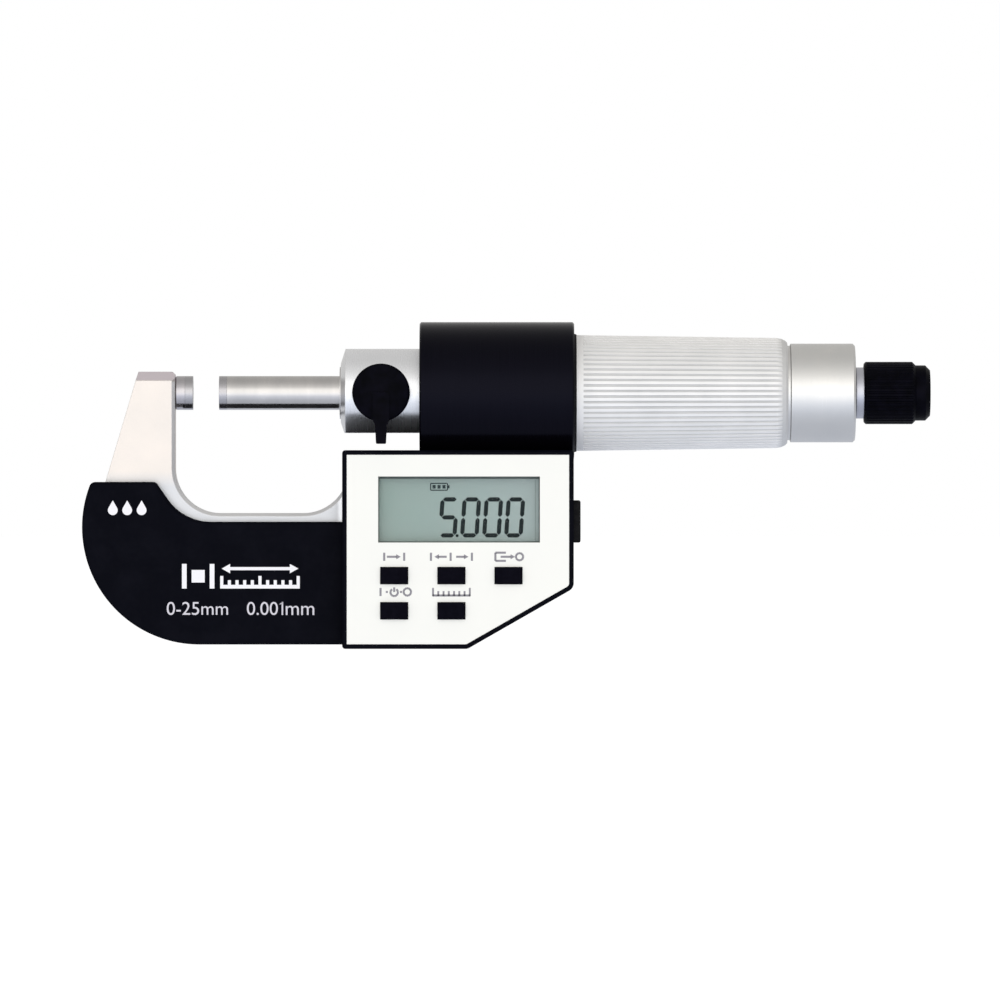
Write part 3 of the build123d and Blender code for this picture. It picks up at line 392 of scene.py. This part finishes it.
def rubber(name, low, high, shine):
    """Matt moulded rubber with a fine bloom."""
    look = Finish(name, shine=shine)
    look.soft_edges(0.15)
    bloom = look.fit(look.noise(0.9, 5, 0.65), 0.4, 0.75)
    look.set("Base Color", look.mix(bloom, low, high))
    look.set("Roughness", look.spread(look.noise(2.2, 3), 0.52, 0.7))
    look.relief(look.noise(6.0, 4), 7.0, 0.4)
    return look.material


def white_label():
    """Printed face film: white satin with a faint orange-peel and tiny specks."""
    look = Finish("white_label", shine=0.4)
    tone = look.spread(look.noise(0.07, 3))
    clean = look.mix(tone, (0.84, 0.832, 0.785), (0.815, 0.81, 0.77))
    speck = look.fit(look.cells(1.3), 0.05, 0.03)
    look.set("Base Color", look.mix(look.maths("MULTIPLY", speck, 0.12), clean, (0.55, 0.54, 0.52)))
    look.set("Roughness", look.spread(look.noise(1.4, 3), 0.36, 0.48))
    look.relief(look.noise(1.6, 3), 6.0, 0.35)
    return look.material


def clear_window():
    """Clear acrylic pane: almost all see-through, with a faint haze."""
    look = Finish("clear_window", shine=0.4)
    look.set("Base Color", (0.2, 0.24, 0.23))
    look.set("Alpha", 0.035)
    look.set("Roughness", look.spread(look.noise(0.6, 4), 0.05, 0.16))
    look.relief(look.noise(0.35, 2), 4.0, 0.2)
    return look.material


def lcd_glass():
    """Grey-green reflective liquid crystal with a brushed reflector behind it."""
    look = Finish("lcd_glass", shine=0.35)
    low, high = edges_mm("display_window")
    across = look.fit(look.along("X"), low.x, high.x)
    cast = look.mix(across, (0.252, 0.355, 0.315), (0.33, 0.415, 0.405))
    grain = look.spread(look.noise((0.5, 4.0, 9.0), 4, 0.6))
    blotch = look.spread(look.noise(0.16, 3))
    cloud = look.maths("MULTIPLY", look.maths("ADD", grain, blotch), 0.22)
    look.set("Base Color", look.mix(cloud, cast, (0.335, 0.375, 0.36)))
    look.set("Roughness", look.fit(grain, 0.0, 1.0, 0.26, 0.4))
    look.relief(look.noise((1.0, 6.0, 12.0), 3), 2.0, 0.3)
    return look.material


def plain_metal(name, low, high, rough, grain_per_mm):
    """Small metal parts: brass, springs and the nickel-plated cell."""
    look = Finish(name, metal=1.0)
    look.soft_edges(0.06)
    grain = look.spread(look.noise(grain_per_mm, 4, 0.65))
    look.set("Base Color", look.mix(grain, low, high))
    look.set("Roughness", look.fit(grain, 0.0, 1.0, rough - 0.06, rough + 0.1))
    look.relief(look.noise(6.0, 3), 2.0, 0.4)
    return look.material


def moulded(name, low, high, rough, depth_um):
    """Inner plastics and films: even colour with a fine texture."""
    look = Finish(name, shine=0.4)
    look.soft_edges(0.06)
    look.set("Base Color", look.mix(look.spread(look.noise(0.8, 4)), low, high))
    look.set("Roughness", look.spread(look.noise(2.0, 3), rough - 0.08, rough + 0.08))
    look.relief(look.noise(5.0, 3), depth_um, 0.4)
    return look.material


def circuit_green():
    """Green solder mask, darker where it runs down between the copper tracks."""
    look = Finish("circuit_green")
    tracks = look.fit(look.cells(0.7, "DISTANCE_TO_EDGE"), 0.05, 0.08)
    look.set("Base Color", look.mix(tracks, (0.035, 0.24, 0.1), (0.012, 0.1, 0.045)))
    look.set("Roughness", look.spread(look.noise(1.0, 3), 0.22, 0.38))
    look.relief(tracks, 25.0, 0.5)
    return look.material


def ink(name, low, high, rough=0.4, shine=0.25):
    """Screen-printed ink with slightly uneven cover."""
    look = Finish(name, shine=shine)
    cover = look.spread(look.noise(4.0, 4, 0.65))
    look.set("Base Color", look.mix(cover, low, high))
    look.set("Roughness", look.spread(look.noise(3.0, 3), rough - 0.08, rough + 0.1))
    look.relief(look.noise(8.0, 3), 2.0, 0.4)
    return look.material


BLACK_RUBBER = ((0.009, 0.009, 0.01), (0.017, 0.017, 0.018))
BUTTON_RUBBER = ((0.002, 0.0018, 0.0045), (0.0038, 0.0035, 0.0075))
BRASS = ((0.6, 0.42, 0.17), (0.68, 0.5, 0.24))
SPRING_STEEL = ((0.5, 0.5, 0.5), (0.6, 0.59, 0.58))
CELL_STEEL = ((0.56, 0.55, 0.53), (0.64, 0.63, 0.61))
WHITE_PTFE = ((0.78, 0.78, 0.75), (0.84, 0.84, 0.82))
RIBBON_FILM = ((0.42, 0.18, 0.04), (0.5, 0.24, 0.07))
SOCKET_BLACK = ((0.018, 0.018, 0.018), (0.028, 0.028, 0.028))

FINISHES = {
    "satin_steel": satin_steel(),
    "ground_steel": ground_steel(),
    "carbide": carbide(),
    "satin_chrome": satin_chrome(),
    "fluted_chrome": fluted_chrome(),
    "black_plastic": black_plastic(),
    "black_case": black_case(),
    "black_knob": black_knob(),
    "black_screws": black_screws(),
    "black_rubber": rubber("black_rubber", *BLACK_RUBBER, 0.04),
    "button_rubber": rubber("button_rubber", *BUTTON_RUBBER, 0.022),
    "white_label": white_label(),
    "clear_window": clear_window(),
    "lcd_glass": lcd_glass(),
    "brass": plain_metal("brass", *BRASS, 0.3, (8.0, 1.0, 1.0)),
    "spring_steel": plain_metal("spring_steel", *SPRING_STEEL, 0.28, 3.0),
    "cell_steel": plain_metal("cell_steel", *CELL_STEEL, 0.2, 1.2),
    "circuit_green": circuit_green(),
    "white_ptfe": moulded("white_ptfe", *WHITE_PTFE, 0.5, 4.0),
    "ribbon_film": moulded("ribbon_film", *RIBBON_FILM, 0.3, 2.0),
    "socket_plastic": moulded("socket_plastic", *SOCKET_BLACK, 0.45, 4.0),
}


def dress_cad_nodes():
    """Give every CAD node the finish that its material slot names."""
    slot_of = {s["node"]: s["material_slot"] for s in frame["record"]["subparts"]}
    for name, node in frame["nodes"].items():
        for slot in node.material_slots:
            slot.material = FINISHES[slot_of[name]]


# ---------------------------------------------------------------- printed marks
# How far each print stands proud of its face, and how thick it is.
PRINT_PROUD, PRINT_THICK = 0.015, 0.014
TEXT_PROUD = 0.015
LCD_PROUD, LCD_THICK = 0.02, 0.019
EDGE_PROUD, EDGE_THICK = 0.03, 0.028
SEAL_PROUD, SEAL_THICK = 0.02, 0.018


def prism(mesh, outline, front, back):
    """Closed flat prism of an (x, z) outline in millimetres, between two y planes."""
    near = [mesh.verts.new((x * MM, front * MM, z * MM)) for x, z in outline]
    far = [mesh.verts.new((x * MM, back * MM, z * MM)) for x, z in outline]
    mesh.faces.new(near)
    mesh.faces.new(reversed(far))
    for i, corner in enumerate(near):
        after = (i + 1) % len(near)
        mesh.faces.new((corner, far[i], far[after], near[after]))


def marks(name, outlines, front, thick, material):
    """One piece made of flat outlines. Their faces towards -Y lie at y = front."""
    mesh = bmesh.new()
    for outline in outlines:
        prism(mesh, outline, front, front + thick)
    bmesh.ops.recalc_face_normals(mesh, faces=mesh.faces)
    piece = placed(mesh, name, material)
    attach(piece, "frame")


def moved(outlines, x, z):
    """Outlines shifted from their own origin to a place on the object."""
    return [[(x + a, z + b) for a, b in outline] for outline in outlines]


def bar(x0, z0, x1, z1, width):
    """Stroke of even width between two points."""
    run = Vector((x1 - x0, z1 - z0)).normalized() * width / 2
    side = Vector((-run.y, run.x))
    near = [(x0 - side.x, z0 - side.y), (x1 - side.x, z1 - side.y)]
    return near + [(x1 + side.x, z1 + side.y), (x0 + side.x, z0 + side.y)]


def strokes(points, width):
    """Chain of strokes through points."""
    return [bar(*a, *b, width) for a, b in zip(points, points[1:])]


def arc_points(x, z, radius, start, end, steps=14):
    """Points along an arc, in degrees."""
    turns = [math.radians(start + (end - start) * i / steps) for i in range(steps + 1)]
    return [(x + radius * math.cos(t), z + radius * math.sin(t)) for t in turns]


def arrow_head(x, z, size, way):
    """Small triangle pointing left (-1) or right (+1)."""
    return [(x, z - size / 2), (x + way * size * 0.9, z), (x, z + size / 2)][::way]


def drop(x, z, size):
    """Water drop, point up."""
    belly = arc_points(x, z, size * 0.36, 150, 390, 16)
    return [*belly, (x, z + size * 0.72)]


# The bars of a seven-segment digit, from one corner to another: columns 0-1, rows 0-2.
SEGMENTS = {
    "top": (0, 2, 1, 2),
    "upper_right": (1, 1, 1, 2),
    "lower_right": (1, 0, 1, 1),
    "bottom": (0, 0, 1, 0),
    "lower_left": (0, 0, 0, 1),
    "upper_left": (0, 1, 0, 2),
    "middle": (0, 1, 1, 1),
}
DIGITS = {
    "0": ("top", "upper_right", "lower_right", "bottom", "lower_left", "upper_left"),
    "5": ("top", "upper_left", "middle", "lower_right", "bottom"),
}
DIGIT_WIDE = 2.75
DIGIT_TALL = 6.85
DIGIT_STROKE = 0.8
DIGIT_PITCH = 4.2
DIGIT_GAP = 0.07
DIGIT_SLANT = 0.07
READING = "5000"
READING_INSET = 6.4  # from the window's right edge to the last digit's lower left corner
READING_RISE = 1.35  # from the window's lower edge to the foot of the digits
POINT_RADIUS = 0.3
POINT_GAP, POINT_DROP = 0.5, 0.05  # from the first digit's lower right corner

BATTERY_WIDE, BATTERY_TALL = 3.2, 1.3
BATTERY_INSET, BATTERY_DROP = 20.8, 2.6  # from the window's upper right corner
BATTERY_LINE = 0.22


def segment(x, z, name):
    """One bar of a digit, with pointed ends and a gap to its neighbours."""
    x0, z0, x1, z1 = SEGMENTS[name]
    start = Vector((x0 * DIGIT_WIDE, z0 * DIGIT_TALL / 2))
    end = Vector((x1 * DIGIT_WIDE, z1 * DIGIT_TALL / 2))
    run = (end - start).normalized()
    side = Vector((-run.y, run.x)) * DIGIT_STROKE / 2
    tip, neck = run * DIGIT_GAP, run * (DIGIT_GAP + DIGIT_STROKE / 2)
    outline = [start + tip, start + neck - side, end - neck - side]
    outline += [end - tip, end - neck + side, start + neck + side]
    return [(x + p.x + DIGIT_SLANT * p.y, z + p.y) for p in outline]


def lcd_reading():
    """The reading 5.000 and its decimal point, on the panel's face."""
    low, high = edges_mm("display_window")
    face = edges_mm("lcd_panel")[0].y
    right, foot = high.x - READING_INSET, low.z + READING_RISE
    dark = ink("lcd_segments", (0.008, 0.013, 0.014), (0.014, 0.02, 0.022), shine=0.02)
    first = right - (len(READING) - 1) * DIGIT_PITCH
    outlines = []
    for place, digit in enumerate(READING):
        x = first + place * DIGIT_PITCH
        outlines += [segment(x, foot, name) for name in DIGITS[digit]]
    point_x = first + DIGIT_WIDE + POINT_GAP
    outlines.append(arc_points(point_x, foot - POINT_DROP, POINT_RADIUS, 0, 330, 11))
    marks("lcd_reading", outlines, face - LCD_PROUD, LCD_THICK, dark)


def lcd_status():
    """A small battery symbol above the reading, with three cells."""
    high = edges_mm("display_window")[1]
    face = edges_mm("lcd_panel")[0].y
    small = ink("lcd_status_ink", (0.03, 0.045, 0.048), (0.045, 0.06, 0.064), shine=0.02)
    wide, tall = BATTERY_WIDE, BATTERY_TALL
    outlines = strokes([(0, 0), (wide, 0), (wide, tall), (0, tall), (0, 0)], BATTERY_LINE)
    outlines.append(bar(wide + 0.25, 0.35, wide + 0.25, 0.95, 0.3))
    outlines += [bar(x, 0.3, x, 1.0, 0.6) for x in (0.65, 1.6, 2.55)]
    outlines = moved(outlines, high.x - BATTERY_INSET, high.z - BATTERY_DROP)
    marks("lcd_status", outlines, face - LCD_PROUD, LCD_THICK, small)


# The band along the top is wider because it also holds a painted shadow of the bezel.
SHADOW_EDGE_TOP, EDGE_SIDE = 0.44, 0.2  # width of the dark edge along the top, and elsewhere
SEAL_INSET, SEAL_LINE = 0.85, 0.12


def lcd_surround():
    """Thin dark edge round the panel behind the pane, widened along the top by a painted shadow of
    the bezel, and the faint seal beside it.
    """
    low, high = edges_mm("display_window")
    face = edges_mm("lcd_panel")[0].y
    edge = ink("lcd_border_shadow_ink", (0.09, 0.115, 0.11), (0.12, 0.15, 0.14))
    # painted shadow: the wider top band stands for the bezel's shadow on the panel
    top, foot = high.z - 0.02 - SHADOW_EDGE_TOP / 2, low.z + EDGE_SIDE / 2
    left, right = low.x + EDGE_SIDE / 2, high.x - EDGE_SIDE / 2
    lines = [
        bar(low.x, top, high.x, top, SHADOW_EDGE_TOP),
        bar(low.x, foot, high.x, foot, EDGE_SIDE),
        bar(left, low.z, left, high.z, EDGE_SIDE),
        bar(right, low.z, right, high.z, EDGE_SIDE),
    ]
    marks("lcd_border_shadow", lines, face - EDGE_PROUD, EDGE_THICK, edge)
    faint = ink("lcd_line_ink", (0.2, 0.26, 0.24), (0.22, 0.28, 0.26))
    seal_x = high.x - SEAL_INSET
    seal = bar(seal_x, low.z + 0.35, seal_x, high.z - 0.6, SEAL_LINE)
    marks("lcd_seal_line", [seal], face - SEAL_PROUD, SEAL_THICK, faint)


# The pictograms over the keys are drawn from the middle of their own foot.
KEY_LIFT = 0.75  # from a key's upper edge to the foot of its mark
KEY_LINE = 0.4
KEY_TALL = 1.55
KEY_MID = KEY_TALL / 2
KEY_HEAD = 0.95
KEY_RING = 0.72


def key_post(x):
    return bar(x, 0, x, KEY_TALL, KEY_LINE)


def key_dash(x0, x1):
    return bar(x0, KEY_MID, x1, KEY_MID, KEY_LINE)


def key_arrow(start, end):
    """Level arrow. Its head starts a little inside the end of the line."""
    way = 1 if end > start else -1
    return [key_dash(start, end), arrow_head(end - way * 0.1, KEY_MID, KEY_HEAD, way)]


def key_ring(x, radius):
    return strokes(arc_points(x, KEY_MID, radius, 0, 360), KEY_LINE)


def zero_mark():
    """Distance from zero: an arrow between two posts."""
    return [key_post(-1.9), key_post(1.9), *key_arrow(-1.4, 0.5)]


def origin_mark():
    """Change of origin: arrows from a middle post to one on each side."""
    return [*map(key_post, (-3.9, -0.15, 3.9)), *key_arrow(-0.9, -2.5), *key_arrow(0.9, 2.5)]


def data_mark():
    """Data out: an arrow from an open box to a round plug."""
    box = strokes([(-0.5, KEY_TALL), (-2.5, KEY_TALL), (-2.5, 0), (-0.5, 0)], KEY_LINE)
    return box + key_arrow(-1.5, 0.5) + key_ring(2.1, 0.7)


def power_mark():
    """On and off: a post, the power sign and a ring."""
    sign = strokes(arc_points(0, KEY_MID - 0.08, KEY_RING, 125, 415), KEY_LINE)
    sign += [bar(0, KEY_MID, 0, KEY_TALL + 0.1, KEY_LINE), key_post(-2.6)]
    return sign + key_ring(2.5, KEY_RING) + [key_dash(-1.6, -1.2), key_dash(1.1, 1.5)]


def scale_mark():
    """Change of scale: a short rule with eight ticks."""
    ticks = [(-3.5 + i, KEY_TALL if i in (0, 7) else 0.95) for i in range(8)]
    rule = [bar(-3.6, 0.1, 3.6, 0.1, KEY_LINE)]
    return rule + [bar(x, 0, x, tall, KEY_LINE * 0.9) for x, tall in ticks]


def key_marks():
    """Grey pictograms over the five keys, in place of words."""
    grey = ink("key_ink", (0.23, 0.22, 0.245), (0.28, 0.27, 0.295), 0.5)
    front = edges_mm("face_label")[0].y - PRINT_PROUD
    drawings = {
        "set": zero_mark(), "abs": origin_mark(), "data": data_mark(),
        "power": power_mark(), "units": scale_mark(),
    }
    for key, outlines in drawings.items():
        low, high = edges_mm(f"button_{key}")
        outlines = moved(outlines, (low.x + high.x) / 2, high.z + KEY_LIFT)
        marks(f"key_mark_{key}", outlines, front, PRINT_THICK, grey)


def text_piece(name, words, x, z, height, front, material):
    """Generic numbers printed on the front grip, x and z at their lower left corner."""
    curve = bpy.data.curves.new(name + "_curve", "FONT")
    curve.body = words
    curve.size = 1.0
    holder = bpy.data.objects.new(name + "_curve", curve)
    bpy.context.scene.collection.objects.link(holder)
    bpy.context.view_layer.update()
    data = bpy.data.meshes.new_from_object(holder)
    bpy.data.objects.remove(holder)
    foot, top = min(v.co.y for v in data.vertices), max(v.co.y for v in data.vertices)
    left = min(v.co.x for v in data.vertices)
    scale = height * MM / (top - foot)
    move = Matrix.Translation((x * MM - left * scale, front * MM, z * MM - foot * scale))
    data.transform(move @ Matrix.Rotation(math.radians(90), 4, "X") @ Matrix.Scale(scale, 4))
    mesh = bmesh.new()
    mesh.from_mesh(data)
    bpy.data.meshes.remove(data)
    bmesh.ops.remove_doubles(mesh, verts=mesh.verts, dist=1e-7)
    grown = bmesh.ops.extrude_face_region(mesh, geom=mesh.faces[:])
    lifted = [v for v in grown["geom"] if isinstance(v, bmesh.types.BMVert)]
    bmesh.ops.translate(mesh, verts=lifted, vec=(0, -TEXT_PROUD * MM, 0))
    bmesh.ops.recalc_face_normals(mesh, faces=mesh.faces)
    piece = placed(mesh, name, material)
    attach(piece, "frame")
    return piece


DROP_COUNT, DROP_PITCH, DROP_SIZE = 3, 2.75, 2.6
DROP_INSET, DROP_DOWN = 5.9, 5.4  # first drop, from the cover's upper left corner
GAUGE_INSET, GAUGE_RISE = 19.1, 10.7  # measuring pictogram, from the lower left corner
GAUGE_TALL = 4.7
ARROW_SIZE = 1.8
RULE_TICKS, RULE_PITCH = 11, 1.46
TEXT_RISE, TEXT_TALL, UNIT_TALL = 5.65, 2.5, 1.75
RANGE_INSET, RESOLUTION_INSET = 16.2, 31.5
ONE_LINE = 0.3


def measure_mark():
    """A block held between two faces, and a double arrow over a rule, from the lower left."""
    outlines = [bar(x, 0, x, GAUGE_TALL, 0.9) for x in (0.45, 5.75)]
    outlines.append(bar(1.85, GAUGE_TALL / 2, 4.35, GAUGE_TALL / 2, 2.4))
    level = GAUGE_TALL - ARROW_SIZE / 2
    outlines.append(bar(9.2, level, 20.6, level, 0.6))
    outlines += [arrow_head(9.2, level, ARROW_SIZE, -1), arrow_head(20.6, level, ARROW_SIZE, 1)]
    outlines.append(bar(7.3, 0.35, 22.5, 0.35, 0.7))
    for i in range(RULE_TICKS):
        x = 7.6 + RULE_PITCH * i
        outlines.append(bar(x, 0.7, x, 2.4 if i % 5 == 0 else 1.6, 0.6))
    return outlines


def figure_one():
    """A plain 1 with a short flag, from the foot of its stem."""
    flag = [(0, TEXT_TALL), (-0.65, TEXT_TALL - 0.5), (0, TEXT_TALL - 0.35)]
    return [bar(0, 0, 0, TEXT_TALL, ONE_LINE), flag]


def grip_marks():
    """White marks on the front grip: drops, a measuring pictogram, the range and the resolution."""
    white = ink("grip_ink", (0.78, 0.77, 0.8), (0.86, 0.85, 0.87), 0.5)
    pale = ink("range_ink", (0.55, 0.53, 0.58), (0.64, 0.62, 0.67), 0.5)
    low, high = edges_mm("grip_cover_front")
    face = low.y
    drops = [drop(DROP_PITCH * i, 0, DROP_SIZE) for i in range(DROP_COUNT)]
    drops = moved(drops, low.x + DROP_INSET, high.z - DROP_DOWN)
    marks("grip_mark_drops", drops, face - PRINT_PROUD, PRINT_THICK, white)
    gauge = moved(measure_mark(), low.x + GAUGE_INSET, low.z + GAUGE_RISE)
    marks("grip_mark_measure", gauge, face - PRINT_PROUD, PRINT_THICK, white)
    z = low.z + TEXT_RISE
    text_piece("range_numbers", "0-25mm", low.x + RANGE_INSET, z, TEXT_TALL, face, pale)
    zeros = text_piece("resolution_zeros", "0.00", low.x + RESOLUTION_INSET, z, TEXT_TALL, face, pale)
    stem = max(v.co.x for v in zeros.data.vertices) / MM + 0.85
    one = moved(figure_one(), stem, z)
    marks("resolution_one", one, face - TEXT_PROUD, TEXT_PROUD, pale)
    text_piece("resolution_unit", "mm", stem + 0.65, z, UNIT_TALL, face, pale)


# ---------------------------------------------------------------- studio
TENT_TILT = 8  # degrees that the brightest direction lies above the horizon, in front
TENT_STRENGTH = 2.15
TENT_TINT = (1.0, 0.99, 0.965)
# Brightness against the cosine of the angle from that direction.
TENT_LEVELS = (
    (0.0, 0.34), (0.3, 0.36), (0.57, 0.42), (0.7, 0.5),
    (0.82, 0.56), (0.9, 0.68), (0.97, 0.95), (1.0, 1.0),
)
COOL_TINT = (1.05, 1.12, 1.28, 1)
COOL_FROM, COOL_FULL = 0.1, -0.5  # sine of the angle over the horizon


def studio_light():
    """A light tent: bright in front, just above the lens, softer to the sides, cooler below."""
    world = bpy.data.worlds.new("light_tent")
    bpy.context.scene.world = world
    world.use_nodes = True
    tree = world.node_tree
    tree.nodes.clear()

    def add(kind, **settings):
        made = tree.nodes.new(kind)
        for key, value in settings.items():
            setattr(made, key, value)
        return made

    def towards(direction):
        made = add("ShaderNodeVectorMath", operation="DOT_PRODUCT")
        tree.links.new(way, made.inputs[0])
        made.inputs[1].default_value = direction
        return made.outputs["Value"]

    way = add("ShaderNodeTexCoord").outputs["Generated"]
    tilt = math.radians(TENT_TILT)
    ramp = add("ShaderNodeValToRGB")
    tree.links.new(towards((0, -math.cos(tilt), math.sin(tilt))), ramp.inputs[0])
    ramp.color_ramp.interpolation = "B_SPLINE"
    while len(ramp.color_ramp.elements) < len(TENT_LEVELS):
        ramp.color_ramp.elements.new(0.5)
    for element, (at, level) in zip(ramp.color_ramp.elements, TENT_LEVELS):
        element.position = at
        element.color = (*(level * part for part in TENT_TINT), 1)
    below = add("ShaderNodeMapRange")
    tree.links.new(towards((0, 0, 1)), below.inputs[0])
    for socket, value in zip(below.inputs[1:5], (COOL_FROM, COOL_FULL, 0.0, 1.0)):
        socket.default_value = value
    cool = add("ShaderNodeMix", data_type="RGBA", blend_type="MULTIPLY")
    tree.links.new(below.outputs[0], cool.inputs["Factor"])
    tree.links.new(ramp.outputs[0], cool.inputs["A"])
    cool.inputs["B"].default_value = COOL_TINT
    tent = add("ShaderNodeBackground")
    tree.links.new(cool.outputs["Result"], tent.inputs[0])
    tent.inputs[1].default_value = TENT_STRENGTH
    backdrop = add("ShaderNodeBackground")
    backdrop.inputs[0].default_value = (1, 1, 1, 1)
    backdrop.inputs[1].default_value = 1.0
    ray = add("ShaderNodeLightPath")
    choose = add("ShaderNodeMixShader")
    tree.links.new(ray.outputs["Is Camera Ray"], choose.inputs[0])
    tree.links.new(tent.outputs[0], choose.inputs[1])
    tree.links.new(backdrop.outputs[0], choose.inputs[2])
    tree.links.new(choose.outputs[0], add("ShaderNodeOutputWorld").inputs[0])


FLOOR_GAP = 0.15  # between the floor and the lowest point of the object
FLOOR_RADIUS = 6.0  # metres
FLOOR_GLOW = 0.97


def floor():
    """Plain pale floor just under the object, bright enough to run into the backdrop."""
    look = Finish("floor_paper", shine=0.0)
    look.set("Roughness", 0.9)
    tone = look.spread(look.noise(0.004, 2))
    look.set("Base Color", look.mix(tone, (0.13, 0.13, 0.13), (0.115, 0.115, 0.115)))
    look.set("Emission Color", (1, 1, 1))
    look.set("Emission Strength", FLOOR_GLOW)
    mesh = bmesh.new()
    bmesh.ops.create_circle(mesh, cap_ends=True, segments=96, radius=FLOOR_RADIUS)
    plane = placed(mesh, "floor", look.material)
    plane.location.z = CAD_BOX[0].z - FLOOR_GAP * MM
    plane.visible_glossy = False
    plane.visible_diffuse = False
    plane.visible_transmission = False


CARD_RADIUS = 4.6
CARD_TURNS = (-123, -91)  # degrees round the spindle axis, 0 to the back and -90 straight down
CARD_STEPS = 10
CARD_UNDER_ANVIL = 2.0
CARD_TO_BUSH = 0.2


def dark_card():
    """Narrow dark strip just under the spindle. Only its reflection in the steel shows."""
    left = edges_mm("anvil_carbide_face")[1].x - CARD_UNDER_ANVIL
    right = edges_mm("guide_bush")[0].x - CARD_TO_BUSH
    look = Finish("shade_paper", shine=0.0)
    look.set("Roughness", 0.9)
    look.set("Base Color", look.mix(look.noise(0.2, 2), (0.08, 0.082, 0.095), (0.1, 0.102, 0.115)))
    mesh = bmesh.new()
    rows = []
    for y, z in arc_points(0, 0, CARD_RADIUS, *CARD_TURNS, CARD_STEPS):
        rows.append([mesh.verts.new((x * MM, y * MM, z * MM)) for x in (left, right)])
    for near, far in zip(rows, rows[1:]):
        mesh.faces.new((near[0], near[1], far[1], far[0]))
    card = placed(mesh, "dark_card", look.material)
    card.visible_camera = False
    card.visible_diffuse = False
    card.visible_shadow = False
    card.visible_transmission = False


CAMERA_DISTANCE = 2.0  # metres, as are the next two
VIEW_CENTRE = (0.05877, -0.0205)
VIEW_WIDTH = 0.19157
SENSOR = 36.0


def camera():
    """Long lens, level with the object and square to its face."""
    data = bpy.data.cameras.new("camera")
    data.sensor_width = SENSOR
    data.lens = SENSOR * CAMERA_DISTANCE / VIEW_WIDTH
    data.clip_start, data.clip_end = 0.05, 30.0
    eye = bpy.data.objects.new("camera", data)
    eye.location = (VIEW_CENTRE[0], -CAMERA_DISTANCE, VIEW_CENTRE[1])
    eye.rotation_euler = (math.radians(90), 0, 0)
    bpy.context.scene.collection.objects.link(eye)
    bpy.context.scene.camera = eye


dress_cad_nodes()
lcd_reading()
lcd_status()
lcd_surround()
key_marks()
grip_marks()
studio_light()
floor()
dark_card()
camera()
bpy.context.scene.view_settings.view_transform = "Standard"
